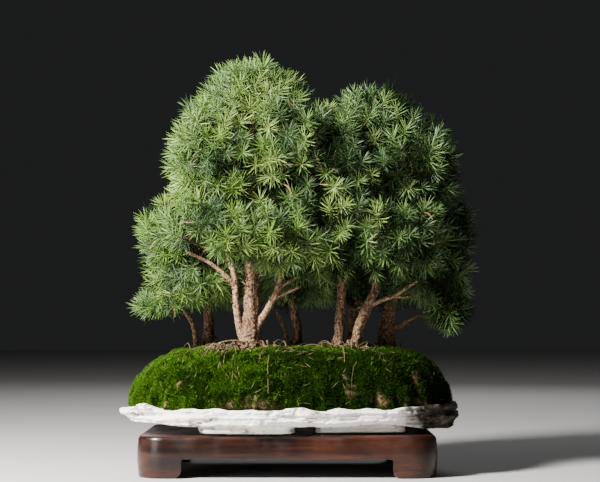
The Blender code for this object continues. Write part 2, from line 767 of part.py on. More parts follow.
def core_mesh(mass, walls):
    """The dense inside of a mass, pulled in from its neighbours and from every limb."""
    shape = bmesh.new()
    bmesh.ops.create_icosphere(shape, subdivisions=2, radius=1.0)
    for vert in shape.verts:
        direction = vert.co.normalized()
        vert.co = mass.centre + direction * core_reach(mass, walls, direction)
    return mesh_from_bmesh("core", shape)


def spread_directions(count, rng):
    """Directions spread evenly over a sphere, each turned a little at random."""
    golden = math.pi * (3 - math.sqrt(5))
    start = rng.random() * 2 * math.pi
    for i in range(count):
        z = 1 - 2 * (i + 0.5) / count
        flat = math.sqrt(1 - z * z)
        turn = start + i * golden
        direction = Vector((flat * math.cos(turn), flat * math.sin(turn), z))
        nudge = Vector((rng.uniform(-1, 1), rng.uniform(-1, 1), rng.uniform(-1, 1)))
        yield (direction + SPRAY_NUDGE * nudge).normalized()


def clear_of(start, end, width, obstacles):
    """Whether a straight piece of some width stays off every limb and stem."""
    return all(
        segment_gap(start, end, low, high) > width + radius + 2 * GAP
        for low, high, radius in obstacles)


def build_mass(mass, obstacles, rng):
    """Core, stem, twigs and sprays of one mass, joined into one solid."""
    walls = core_walls(mass, obstacles)
    body = add_object(mass.name, core_mesh(mass, walls), NEEDLE_GREEN, 0.7)
    pieces = []

    def piece(mesh):
        pieces.append(add_object("piece", mesh, NEEDLE_GREEN, 0.7))

    start, elbow, _ = mass.stem
    piece(tube(mass.stem, [STEM_WIDTH] * 3, 5, (elbow - start).normalized()))
    for heading in spread_directions(SPRAYS_PER_MASS, rng):
        length = SPRAY_LENGTH * rng.uniform(*SPRAY_SIZES)
        outer = mass.reach(heading) * rng.uniform(*SPRAY_REACH)
        for shrink in SPRAY_TRIES:
            tip = mass.centre + heading * outer * shrink
            root = mass.centre + heading * (outer * shrink - length)
            widest = root.lerp(tip, SPRAY_BELLY)
            if tip.z < mound_level(tip.x, tip.y) + MOSS_CLEARANCE:
                continue
            inside = mass.holds(tip) and mass.holds(root) and mass.holds(widest, SPRAY_WIDTH)
            if inside and clear_of(root, tip, SPRAY_WIDTH, obstacles):
                rooted = TWIG_ROOT * core_reach(mass, walls, heading)
                twig = [mass.centre + heading * rooted, root.lerp(tip, TWIG_END)]
                if clear_of(twig[0], twig[1], TWIG_WIDTH, obstacles):
                    piece(tube(twig, [TWIG_WIDTH, TWIG_WIDTH * 0.8], 3))
                    piece(spindle(root, tip, SPRAY_WIDTH))
                    break
    combine(body, pieces, "UNION")
    body.data.materials.clear()
    body.data.materials.append(plain_material(mass.name + "_finish", NEEDLE_GREEN, 0.7))


def foliage(limbs):
    """All the masses, each in its own space and clear of the limbs and the other stems."""
    masses = crown_masses()
    part_masses(masses)
    choose_stems(masses, limbs)
    limb_pieces = [segment for limb in limbs.values() for segment in limb.segments()]
    rng = random.Random(SEED)
    for mass in masses:
        obstacles = list(limb_pieces)
        for other in masses:
            if other is not mass:
                start, elbow, end = other.stem
                obstacles += [(start, elbow, STEM_WIDTH), (elbow, end, STEM_WIDTH)]
        build_mass(mass, obstacles, rng)


def main():
    clear_scene()
    stand_board()
    stand_legs()
    stand_aprons()
    stone_slab()
    limbs = make_limbs()
    feet = []
    for limb in limbs.values():
        if limb.first_direction is not None and limb.name.startswith(("trunk", "stem")):
            feet.append((limb.path[0], limb.radii[0] * (1 + limb.lobes) + GAP))
        limb.build()
    moss_mound(feet)
    foliage(limbs)
    for item in bpy.context.scene.objects:
        item.data.transform(Matrix.Translation(GROUP_SHIFT))


main()
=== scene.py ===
"""The looks of a spruce bonsai group: seven dwarf spruces in moss on a white stone slab and a wooden stand.

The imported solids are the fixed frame. Every size is in metres, +Z is up and the front faces -Y.
"""

import json
import math
import random

import bmesh
import bpy
import numpy as np
from mathutils import Matrix, Vector, kdtree, noise

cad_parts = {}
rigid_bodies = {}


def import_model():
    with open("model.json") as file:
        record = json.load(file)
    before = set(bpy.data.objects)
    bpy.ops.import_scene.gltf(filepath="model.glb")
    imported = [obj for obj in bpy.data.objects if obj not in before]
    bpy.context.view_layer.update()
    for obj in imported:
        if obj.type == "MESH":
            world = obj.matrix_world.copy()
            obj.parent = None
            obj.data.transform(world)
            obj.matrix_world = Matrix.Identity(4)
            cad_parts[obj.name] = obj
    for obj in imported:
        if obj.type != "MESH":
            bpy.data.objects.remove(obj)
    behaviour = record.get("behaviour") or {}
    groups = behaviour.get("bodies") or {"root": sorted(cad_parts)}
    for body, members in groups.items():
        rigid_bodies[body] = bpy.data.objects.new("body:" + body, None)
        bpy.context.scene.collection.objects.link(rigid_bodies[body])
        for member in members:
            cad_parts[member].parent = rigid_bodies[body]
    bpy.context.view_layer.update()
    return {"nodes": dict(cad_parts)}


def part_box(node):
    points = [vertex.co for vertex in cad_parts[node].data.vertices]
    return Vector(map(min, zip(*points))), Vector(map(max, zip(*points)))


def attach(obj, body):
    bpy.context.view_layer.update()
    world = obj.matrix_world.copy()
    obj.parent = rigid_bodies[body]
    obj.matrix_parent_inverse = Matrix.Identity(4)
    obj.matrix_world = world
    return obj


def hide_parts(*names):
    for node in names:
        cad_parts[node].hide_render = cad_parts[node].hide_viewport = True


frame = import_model()
# All but the stand is drawn from a point between the two crowns. This move puts it in the frame.
GROUP_SHIFT = Vector((0.00545, 0.00174, 0.0))


# Camera. It stands level with the foot of the trees, a little over a metre and a half in front,
# and looks slightly up, so that the stand is at the lower edge of the view.
CAMERA_DISTANCE = 1.60
CAMERA_HEIGHT = 0.150
CAMERA_X = -0.0035
VIEW_WIDTH = 0.60             # width of what is seen at the trees
VIEW_MIDDLE = 0.2275          # height seen at the view's centre
SENSOR_WIDTH = 36.0

camera = bpy.data.objects.new("camera", bpy.data.cameras.new("camera"))
camera.data.sensor_width = SENSOR_WIDTH
camera.data.lens = SENSOR_WIDTH * CAMERA_DISTANCE / VIEW_WIDTH
camera.location = Vector((CAMERA_X, -CAMERA_DISTANCE, CAMERA_HEIGHT)) + GROUP_SHIFT
sight = Vector((CAMERA_X, 0.0, VIEW_MIDDLE)) + GROUP_SHIFT - camera.location
camera.rotation_euler = sight.to_track_quat("-Z", "Y").to_euler()
bpy.context.scene.collection.objects.link(camera)
bpy.context.scene.camera = camera


# Stand. A low display stand of dark red hardwood under clear lacquer. Four corner legs and the
# aprons between them are flush, with rounded corners and a softly rounded top edge.
board_low, board_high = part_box("stand_board")
leg_low, leg_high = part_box("stand_leg_front_left")
apron_low, apron_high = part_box("stand_apron_front")
STAND_CORNER = 0.027
STAND_TOP_ROUND = 0.0045
STAND_EDGE = 0.0007
STAND_SWELL = 0.0016          # how far the legs' and aprons' faces swell at half their height
FOOT_ROUND = 0.007
FOOT_SHOULDER = 0.0025        # small round where a leg meets the apron
SHOULDER_START = 0.0001       # keeps the two rounds' points apart
CORNER_STEPS = 14


def new_mesh(name, points, faces):
    """A mesh from points and faces, with its normals pointing out."""
    mesh = bpy.data.meshes.new(name)
    mesh.from_pydata([tuple(point) for point in points], [], faces)
    shape = bmesh.new()
    shape.from_mesh(mesh)
    bmesh.ops.recalc_face_normals(shape, faces=shape.faces)
    shape.to_mesh(mesh)
    shape.free()
    return mesh


def place(name, mesh, material, replaced=(), smooth_angle=None, move=GROUP_SHIFT):
    """Show a finished mesh as a piece of the object."""
    mesh.transform(Matrix.Translation(move))
    mesh.materials.clear()
    mesh.materials.append(material)
    if smooth_angle is not None:
        mesh.shade_smooth()
        if smooth_angle < 180:
            mesh.set_sharp_from_angle(angle=math.radians(smooth_angle))
    piece = bpy.data.objects.new(name, mesh)
    bpy.context.scene.collection.objects.link(piece)
    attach(piece, "root")
    if replaced:
        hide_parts(*replaced)


def side_profile(length, arm, apron_level):
    """Lower edge of one straight side, from corner to corner: leg, apron, leg."""
    points = [(0.0, 0.0)]
    for step in range(6):
        turn = step / 5 * math.pi / 2
        points.append((arm - FOOT_ROUND * (1 - math.sin(turn)), FOOT_ROUND * (1 - math.cos(turn))))
    for step in range(4):
        turn = step / 3 * math.pi / 2
        points.append((
            arm + SHOULDER_START + FOOT_SHOULDER * (1 - math.cos(turn)),
            apron_level - FOOT_SHOULDER * (1 - math.sin(turn))))
    middle = [(length * share, apron_level) for share in (0.3, 0.4, 0.5)]
    half = points + middle
    return half + [(length - along, level) for along, level in reversed(half[:-1])]


def stand_columns():
    """Columns round the stand: place on the outline, outward direction, lower level."""
    half_x = (board_high.x - board_low.x) / 2
    half_y = (board_high.y - board_low.y) / 2
    centre = (board_low + board_high) / 2
    arm = leg_high.x - leg_low.x - STAND_CORNER
    columns = []
    sides = (
        (Vector((-1, -1)), Vector((1, 0)), Vector((0, -1)), 2 * (half_x - STAND_CORNER)),
        (Vector((1, -1)), Vector((0, 1)), Vector((1, 0)), 2 * (half_y - STAND_CORNER)),
        (Vector((1, 1)), Vector((-1, 0)), Vector((0, 1)), 2 * (half_x - STAND_CORNER)),
        (Vector((-1, 1)), Vector((0, -1)), Vector((-1, 0)), 2 * (half_y - STAND_CORNER)))
    for corner, run, outward, length in sides:
        hub = Vector((
            centre.x + corner.x * (half_x - STAND_CORNER),
            centre.y + corner.y * (half_y - STAND_CORNER)))
        start_angle = math.atan2(outward.y, outward.x) - math.pi / 2
        for step in range(1, CORNER_STEPS):
            turn = start_angle + step / CORNER_STEPS * math.pi / 2
            direction = Vector((math.cos(turn), math.sin(turn)))
            columns.append((hub + direction * STAND_CORNER, direction, 0.0))
        for along, level in side_profile(length, arm, apron_low.z):
            columns.append((hub + outward * STAND_CORNER + run * along, outward, level))
    return columns


def face_inset(level, height):
    """How far the stand's swelling outer face lies inside its fullest line at a level."""
    return STAND_SWELL * (1 - math.sin(math.pi * level / height))


def stand_mesh():
    """The frame's outer face, rounded edge and inner face, closed by the board."""
    wall = apron_high.y - apron_low.y
    top = board_high.z
    columns = stand_columns()
    rows = []
    for spot, outward, level in columns:
        section = [(wall, board_low.z), (wall, level + STAND_EDGE), (wall - STAND_EDGE, level)]
        face = [(STAND_EDGE, level), (0.0, level + STAND_EDGE)]
        face += [(0.0, level + (top - STAND_TOP_ROUND - level) * step / 8) for step in range(1, 8)]
        for step in range(7):
            turn = step / 6 * math.pi / 2
            face.append((
                STAND_TOP_ROUND * (1 - math.cos(turn)), top - STAND_TOP_ROUND * (1 - math.sin(turn))))
        section += [(inset + face_inset(z, top), z) for inset, z in face]
        section.append((wall, top))
        rows.append([(spot.x - outward.x * inset, spot.y - outward.y * inset, z) for inset, z in section])
    height = len(rows[0])
    count = len(rows)
    points = [point for row in rows for point in row]
    faces = []
    for i in range(count):
        j = (i + 1) % count
        for k in range(height - 1):
            faces.append((i * height + k, j * height + k, j * height + k + 1, i * height + k + 1))
    faces.append([i * height for i in range(count)])
    faces.append([i * height + height - 1 for i in reversed(range(count))])
    return new_mesh("stand", points, faces)


def group_tree(name, inputs, outputs):
    """An empty shader node group with named sockets."""
    tree = bpy.data.node_groups.new(name, "ShaderNodeTree")
    for label, kind, value in inputs:
        socket = tree.interface.new_socket(label, in_out="INPUT", socket_type=kind)
        if value is not None:
            socket.default_value = value
    for label, kind in outputs:
        tree.interface.new_socket(label, in_out="OUTPUT", socket_type=kind)
    return tree


def node(tree, kind, links=None, **settings):
    """One node, with its properties set, its sockets given values and its links made."""
    made = tree.nodes.new(kind)
    for key, value in settings.items():
        setattr(made, key, value)
    for socket, value in (links or {}).items():
        target = made.inputs[socket]
        if isinstance(value, bpy.types.NodeSocket):
            tree.links.new(value, target)
        else:
            target.default_value = value
    return made


def ramp(tree, value, stops):
    """A colour ramp over a value. Stops are (place, colour or grey)."""
    made = node(tree, "ShaderNodeValToRGB", {0: value})
    points = made.color_ramp.elements
    while len(points) < len(stops):
        points.new(0.5)
    for point, (place_on_ramp, colour) in zip(points, stops):
        point.position = place_on_ramp
        point.color = (*colour, 1.0) if isinstance(colour, tuple) else (colour, colour, colour, 1.0)
    return made.outputs["Color"]


def mix(tree, share, one, other):
    """Two colours mixed by a share."""
    made = node(tree, "ShaderNodeMix", data_type="RGBA")
    for socket, value in ((0, share), (6, one), (7, other)):
        target = made.inputs[socket]
        if isinstance(value, bpy.types.NodeSocket):
            tree.links.new(value, target)
        elif isinstance(value, tuple):
            target.default_value = (*value, 1.0)
        else:
            target.default_value = value
    return made.outputs[2]


def blotch_group():
    """Soft irregular patches: a mask from two sizes of noise."""
    tree = group_tree(
        "blotches",
        [("Vector", "NodeSocketVector", None), ("Scale", "NodeSocketFloat", 20.0),
         ("Detail", "NodeSocketFloat", 6.0), ("From", "NodeSocketFloat", 0.4),
         ("To", "NodeSocketFloat", 0.6)],
        [("Mask", "NodeSocketFloat"), ("Noise", "NodeSocketFloat")])
    inside = tree.nodes.new("NodeGroupInput")
    outside = tree.nodes.new("NodeGroupOutput")
    pattern = node(tree, "ShaderNodeTexNoise", {
        "Vector": inside.outputs["Vector"], "Scale": inside.outputs["Scale"],
        "Detail": inside.outputs["Detail"], "Roughness": 0.6})
    mask = node(tree, "ShaderNodeMapRange", {
        "Value": pattern.outputs["Fac"], "From Min": inside.outputs["From"],
        "From Max": inside.outputs["To"]})
    tree.links.new(mask.outputs["Result"], outside.inputs["Mask"])
    tree.links.new(pattern.outputs["Fac"], outside.inputs["Noise"])
    return tree


BLOTCHES = blotch_group()


def blotches(tree, vector, scale, low, high, detail=6.0):
    """The patches group placed in a material, with its own values."""
    made = node(tree, "ShaderNodeGroup", node_tree=BLOTCHES)
    tree.links.new(vector, made.inputs["Vector"])
    for label, value in (("Scale", scale), ("Detail", detail), ("From", low), ("To", high)):
        made.inputs[label].default_value = value
    return made


def new_material(name, roughness, specular=0.5):
    """A material with its Principled shader and its Object coordinates."""
    material = bpy.data.materials.new(name)
    material.use_nodes = True
    tree = material.node_tree
    shader = tree.nodes["Principled BSDF"]
    shader.inputs["Roughness"].default_value = roughness
    shader.inputs["Specular IOR Level"].default_value = specular
    place_on = node(tree, "ShaderNodeTexCoord").outputs["Object"]
    return material, tree, shader, place_on


def bump(tree, shader, height, distance, strength=1.0, under=None):
    """Small relief from a height pattern, on top of any other relief."""
    links = {"Height": height, "Distance": distance, "Strength": strength}
    if under is not None:
        links["Normal"] = under
    made = node(tree, "ShaderNodeBump", links)
    tree.links.new(made.outputs["Normal"], shader.inputs["Normal"])
    return made.outputs["Normal"]


def lacquered_wood():
    """Dark red hardwood: streaks and short pores along X under a glossy coat."""
    material, tree, shader, spot = new_material("lacquered_wood", 0.36, 0.25)
    shader.inputs["Coat Weight"].default_value = 0.30
    shader.inputs["Coat Roughness"].default_value = 0.10
    stretched = node(tree, "ShaderNodeMapping", {"Vector": spot, "Scale": (9.0, 60.0, 160.0)}).outputs[0]
    streaks = blotches(tree, stretched, 1.0, 0.30, 0.70, 8.0)
    base = ramp(tree, streaks.outputs["Noise"], (
        (0.30, (0.003, 0.0011, 0.0008)), (0.47, (0.010, 0.0030, 0.0018)),
        (0.60, (0.026, 0.0070, 0.0036)), (0.74, (0.056, 0.0180, 0.0085))))
    pored = node(tree, "ShaderNodeMapping", {"Vector": spot, "Scale": (140.0, 900.0, 900.0)}).outputs[0]
    pores = blotches(tree, pored, 1.0, 0.56, 0.70, 2.0)
    warm = blotches(tree, spot, 14.0, 0.45, 0.75, 3.0)
    base = mix(tree, warm.outputs["Mask"], base, mix(tree, 0.4, base, (0.095, 0.028, 0.012)))
    base = mix(tree, pores.outputs["Mask"], base, (0.008, 0.0035, 0.003))
    tree.links.new(base, shader.inputs["Base Color"])
    dull = blotches(tree, spot, 45.0, 0.45, 0.65, 4.0)
    rough = node(tree, "ShaderNodeMapRange", {
        "Value": dull.outputs["Mask"], "To Min": 0.30, "To Max": 0.50}).outputs["Result"]
    tree.links.new(rough, shader.inputs["Roughness"])
    bump(tree, shader, pores.outputs["Mask"], -0.00012, 0.5)
    return material


stand_nodes = [name for name in frame["nodes"] if name.startswith("stand_")]
place("stand", stand_mesh(), lacquered_wood(), stand_nodes, 40, Vector())


# Slab. A thin natural plate of white layered stone. Its edge is broken into laminae with pits and
# cracks, and it lies on the stand on two lower layers.
slab_low, slab_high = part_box("stone_slab")
SLAB_X = -0.0145
SLAB_DEPTH = 0.214
SLAB_SQUARENESS = 2.5
SLAB_BOTTOM = 0.0490
SLAB_TOP = 0.0642
LEDGE_FRONT = -0.063
LEDGE_UNDERCUT = 0.0022
LEDGE_BACK = 0.056
LEDGE_SQUARENESS = 8
LEDGE_BROKEN = 0.0042         # how deeply its edge is broken
LEDGES = {"left": (-0.101, -0.0075, -0.0960), "right": (0.009, 0.099, -0.0780)}   # ends, front lip
RIM_ROWS = 22
RIM_BROKEN = 0.0046           # how deeply the slab's own edge is broken
SLAB_STEPS = 720
SLAB_THINNING = 0.0075        # how much thinner the slab is at its left-hand end
ROCK_SWELL = 0.0080           # and how much thicker at its right-hand end
RIM_WAVE = 0.0042
KNOB_X = -0.153               # a white knob stands up at the left-hand end of the rim
KNOB_WIDTH = 0.013
KNOB_RISE = 0.0050
ROCK_FROM = 0.098             # from here to the right the slab is brown lumpy rock
ROCK_LUMPS = 0.0075


def superellipse(angle, half_length, half_depth, squareness):
    """Distance from the centre to a squarish oval in one direction."""
    term_x = abs(math.cos(angle) / half_length) ** squareness
    term_y = abs(math.sin(angle) / half_depth) ** squareness
    return (term_x + term_y) ** (-1 / squareness)


def slab_reach(angle):
    """The slab's broken outline: a squarish oval with lobes and small bites."""
    half_length = (slab_high.x - slab_low.x) / 2
    reach = superellipse(angle, half_length, SLAB_DEPTH / 2, SLAB_SQUARENESS)
    lobes = 0.014 * math.cos(3 * angle + 0.6) + 0.011 * math.cos(5 * angle + 2.0)
    bites = 0.008 * math.cos(11 * angle + 1.1) + 0.005 * math.cos(17 * angle)
    ends = abs(math.cos(angle)) ** 6
    return reach * (1 + (lobes + bites) * (1 - ends))


def broken(x, y, z, depth):
    """How far a broken stone edge stands back at a point: laminae, chips and pits."""
    layer = noise.noise(Vector((x * 16, y * 16, z * 330)))
    step = math.floor(layer * 3.2 + 0.5) / 3.2
    chips = noise.noise(Vector((x * 75, y * 75, z * 150)))
    grit = noise.noise(Vector((x * 260, y * 260, z * 380)))
    pit = max(0.0, noise.noise(Vector((x * 120 + 9, y * 120, z * 170))) - 0.32)
    return depth * (0.35 + 0.45 * step + 0.15 * layer + 0.30 * chips + 0.12 * grit + 1.9 * pit)


def grid_mesh(name, rings, bottom, top):
    """A closed body through rings, with a centre point at each end."""
    count = len(rings[0])
    points = [point for ring in rings for point in ring] + [bottom, top]
    faces = []
    for i in range(count):
        j = (i + 1) % count
        faces.append((len(points) - 2, j, i))
        last = (len(rings) - 1) * count
        faces.append((last + i, last + j, len(points) - 1))
        for k in range(len(rings) - 1):
            low = k * count
            faces.append((low + i, low + j, low + count + j, low + count + i))
    return new_mesh(name, points, faces)


def rim_share(rise):
    """How far out the slab's edge is at a share of its height: undercut below, rounded above."""
    return 1 - 0.045 * (1 - rise) ** 2.2 - 0.018 * rise ** 6


def slab_mesh():
    """The slab: a flat underside, a broken edge built up in laminae, and an uneven top rim."""
    profile = [(0.45, 0.0, 0.0), (0.80, 0.0, 0.001)]
    rises = [step / RIM_ROWS for step in range(RIM_ROWS + 1)]
    profile += [(rim_share(rise), rise, RIM_BROKEN) for rise in rises]
    profile += [(0.945, 1.0, 0.001), (0.90, 1.0, 0.0)]
    rings = []
    for share, rise, depth in profile:
        ring = []
        for step in range(SLAB_STEPS):
            angle = step / SLAB_STEPS * 2 * math.pi
            reach = slab_reach(angle) * share
            x = SLAB_X + reach * math.cos(angle)
            y = reach * math.sin(angle)
            rocky = min(1.0, max(0.0, (x - ROCK_FROM) / 0.02))
            level = SLAB_BOTTOM + (SLAB_TOP - SLAB_BOTTOM) * rise
            if share > 0.9:
                level += (KNOB_RISE * rise * math.exp(-((x - KNOB_X) / KNOB_WIDTH) ** 2)
                          + (0.5 - rise) * SLAB_THINNING * max(0.0, -math.cos(angle)) ** 10
                          + (rise - 0.6) * ROCK_SWELL * rocky
                          + RIM_WAVE * noise.noise(Vector((x * 30, y * 30, 3.0))) * (1 - rise)
                          + RIM_WAVE * noise.noise(Vector((x * 42, y * 42, 8.0))) * rise
                          + 0.0008 * noise.noise(Vector((x * 160, y * 160, 8.0))) * rise)
            back = max(-0.0010, broken(x, y, level, depth * (1 + 0.8 * rocky))) if depth else 0.0
            knob = abs(noise.noise(Vector((x * 62, y * 62, level * 90))))
            back += ROCK_LUMPS * rocky * (knob - 0.2) if share > 0.93 else 0.0
            reach -= back
            ring.append((SLAB_X + reach * math.cos(angle), reach * math.sin(angle), level))
        rings.append(ring)
    return grid_mesh("slab", rings, (SLAB_X, 0, SLAB_BOTTOM), (SLAB_X, 0, SLAB_TOP - 0.001))


def ledge_mesh(name, x_low, x_high, lip):
    """One of the lower layers that the slab lies on, undercut at its front."""
    half_length = (x_high - x_low) / 2
    centre_x = (x_low + x_high) / 2
    rings = []
    for step in range(13):
        level = slab_low.z + (SLAB_BOTTOM + 0.001 - slab_low.z) * step / 12
        forward = min(1.0, max(0.0, (level - slab_low.z) / LEDGE_UNDERCUT)) ** 0.25
        front = LEDGE_FRONT + (lip - LEDGE_FRONT) * forward
        half_depth = (LEDGE_BACK - front) / 2
        centre_y = (LEDGE_BACK + front) / 2
        ring = []
        for turn in range(360):
            angle = turn / 360 * 2 * math.pi
            reach = superellipse(angle, half_length, half_depth, LEDGE_SQUARENESS)
            x = centre_x + reach * math.cos(angle)
            y = centre_y + reach * math.sin(angle)
            reach -= max(0.0, broken(x, y, level, LEDGE_BROKEN)) if 0 < step else 0.0012
            ring.append((centre_x + reach * math.cos(angle), centre_y + reach * math.sin(angle), level))
        rings.append(ring)
    return grid_mesh(name, rings, (centre_x, 0, slab_low.z), (centre_x, 0, SLAB_BOTTOM + 0.001))


def white_stone():
    """White limestone: peach stains, brown cracks along the laminae, dirt in the hollows."""
    material, tree, shader, spot = new_material("white_stone", 0.82, 0.35)
    stain = blotches(tree, spot, 26.0, 0.50, 0.68, 5.0)
    base = mix(tree, stain.outputs["Mask"], (0.97, 0.935, 0.890), (0.92, 0.755, 0.630))
    grey = blotches(tree, spot, 9.0, 0.48, 0.70, 6.0)
    base = mix(tree, grey.outputs["Mask"], base, (0.86, 0.825, 0.780))
    layered = node(tree, "ShaderNodeMapping", {"Vector": spot, "Scale": (22.0, 22.0, 190.0)}).outputs[0]
    crack_noise = blotches(tree, layered, 1.0, 0.0, 1.0, 7.0)
    cracks = ramp(tree, crack_noise.outputs["Noise"], (
        (0.455, 0.0), (0.485, 1.0), (0.500, 1.0), (0.525, 0.0)))
    thin_out = blotches(tree, spot, 30.0, 0.50, 0.60, 3.0)
    crack_mask = node(tree, "ShaderNodeMath", {0: cracks, 1: thin_out.outputs["Mask"]}, operation="MULTIPLY")
    base = mix(tree, crack_mask.outputs[0], base, (0.11, 0.065, 0.040))
    pits = blotches(tree, spot, 210.0, 0.62, 0.72, 3.0)
    base = mix(tree, pits.outputs["Mask"], base, (0.22, 0.145, 0.095))
    # The right-hand end turns to dark brown rock; its darkness is partly painted shade.
    across = node(tree, "ShaderNodeSeparateXYZ", {0: spot}).outputs["X"]
    edge = node(tree, "ShaderNodeMath", {0: grey.outputs["Noise"], 1: 0.10}, operation="MULTIPLY")
    shifted = node(tree, "ShaderNodeMath", {0: across, 1: edge.outputs[0]}, operation="ADD")
    rock_and_shade = node(tree, "ShaderNodeMapRange", {
        "Value": shifted.outputs[0], "From Min": 0.160, "From Max": 0.173}).outputs["Result"]
    rock = ramp(tree, blotches(tree, spot, 120.0, 0.0, 1.0, 6.0).outputs["Noise"], (
        (0.40, (0.008, 0.006, 0.004)), (0.52, (0.030, 0.022, 0.013)), (0.66, (0.125, 0.098, 0.066))))
    base = mix(tree, rock_and_shade, base, rock)
    tree.links.new(base, shader.inputs["Base Color"])
    fine = blotches(tree, spot, 420.0, 0.3, 0.7, 5.0)
    first = bump(tree, shader, fine.outputs["Noise"], 0.0010, 0.8)
    bump(tree, shader, crack_mask.outputs[0], -0.0008, 0.8, first)
    return material


stone = white_stone()
place("slab", slab_mesh(), stone, ["stone_slab"], 180)
for side, (x_low, x_high, lip) in LEDGES.items():
    ledge = ledge_mesh("slab_layer_" + side, x_low, x_high, lip)
    place("slab_layer_" + side, ledge, stone, (), 180)


# Moss. A steep cushion of living moss over the roots, made of round tufts 16 to 34 mm wide with seams
# between them whose darker ground is painted shade, short upright leaves all over, and a few bare brown
# patches at its foot. The greener moss to the left and on top is partly painted light.
MOUND_SHARE = 0.925
MOUND_HEIGHT = 0.0565
MOUND_OVERHANG = 0.015        # how much more of the slab it covers at the right-hand end
MOUND_FULLNESS = (6.8, 0.8)   # at the front and back, and how much fuller it is to the right
MOUND_SHOULDER = (0.69, -0.04)  # likewise: the smaller, the steeper the side
MOUND_EDGE = 0.0030
MOSS_GAP = 0.0003
TUFT_TRIES = 4000
TUFT_SIZES = (0.0080, 0.0170)
TUFT_SPACING = 0.80           # how far apart two tufts are, in their sizes
TUFT_RISE = 0.0095
MOSS_STEPS = 480
MOSS_ROWS = 110
BRISTLES = 60000              # for each of the two greens
BRISTLE_LENGTH = 0.0025
BRISTLE_WIDTH = 0.00042
# The fresh green goes mostly to the lit left side and the top, so it is partly painted light.
MOSS_COLOURS = {"fresh": (0.035, 0.082, 0.006), "deep": (0.0095, 0.0225, 0.0030)}

chance = random.Random(41)


def mound_reach(angle):
    """The mound's outline: inside the slab's, and nearly up to it at the right-hand end."""
    return slab_reach(angle) * (MOUND_SHARE + MOUND_OVERHANG * max(0.0, math.cos(angle)) ** 2)


def mound_point(angle, share):
    """A place on the smooth mound, by bearing and by how far out it is."""
    reach = mound_reach(angle) * share
    fullness, shoulder = (
        value + change * math.cos(angle) for value, change in (MOUND_FULLNESS, MOUND_SHOULDER))
    dome = MOUND_EDGE + (MOUND_HEIGHT - MOUND_EDGE) * (1 - share ** fullness) ** shoulder
    return Vector((SLAB_X + reach * math.cos(angle), reach * math.sin(angle), SLAB_TOP + MOSS_GAP + dome))


def mound_at(x, y):
    """The point of the smooth mound above a place."""
    angle = math.atan2(y, x - SLAB_X)
    share = min(1.0, math.hypot(x - SLAB_X, y) / mound_reach(angle))
    return mound_point(angle, share)


def tuft_places():
    """Middles, sizes and lifts of the tufts, spread over the dome."""
    places = []
    for attempt in range(TUFT_TRIES):
        spot = mound_point(chance.uniform(0, 2 * math.pi), chance.uniform(0.05, 1.0) ** 0.45)
        size = TUFT_SIZES[1] + (TUFT_SIZES[0] - TUFT_SIZES[1]) * attempt / TUFT_TRIES
        apart = TUFT_SPACING * chance.uniform(0.7, 1.0)
        if all((spot - other).length > apart * (size + width) / 2 for other, width, _ in places):
            places.append((spot, size, chance.uniform(0.60, 1.0)))
    return places


def even_shares(count):
    """Steps outward over the dome that are even along its slope, not across its plan."""
    samples = [mound_point(-math.pi / 2, step / 400) for step in range(401)]
    travelled = [0.0]
    for one, other in zip(samples, samples[1:]):
        travelled.append(travelled[-1] + (other - one).length)
    wanted = [travelled[-1] * (step + 1) / count for step in range(count)]
    return np.interp(wanted, travelled, np.linspace(0, 1, 401))


def smooth_mound():
    """The mound's skin before its tufts, closed underneath."""
    rings = []
    for share in even_shares(MOSS_ROWS):
        ring = []
        for step in range(MOSS_STEPS):
            angle = step / MOSS_STEPS * 2 * math.pi
            wave = noise.noise(Vector((math.cos(angle) * 9, math.sin(angle) * 9, 5.0)))
            wave += 0.5 * noise.noise(Vector((math.cos(angle) * 26, math.sin(angle) * 26, 5.0)))
            ragged = 1 + 0.045 * wave * share ** 8
            point = mound_point(angle, share)
            centre = Vector((SLAB_X, 0.0, point.z))
            ring.append(centre + (point - centre) * ragged)
        rings.append(ring)
    inner = [Vector((SLAB_X + (p.x - SLAB_X) * 0.9, p.y * 0.9, SLAB_TOP + MOSS_GAP)) for p in rings[-1]]
    rings.append([Vector((p.x, p.y, SLAB_TOP + MOSS_GAP)) for p in rings[-1]])
    rings.append(inner)
    return grid_mesh("moss", rings, mound_point(0, 0), (SLAB_X, 0, SLAB_TOP + MOSS_GAP))


def write_values(mesh, label, kind, row):
    """Store one value or vector for each point of a mesh."""
    stored = mesh.attributes.new(label, kind, "POINT")
    stored.data.foreach_set("vector" if kind == "FLOAT_VECTOR" else "value", np.ravel(row))


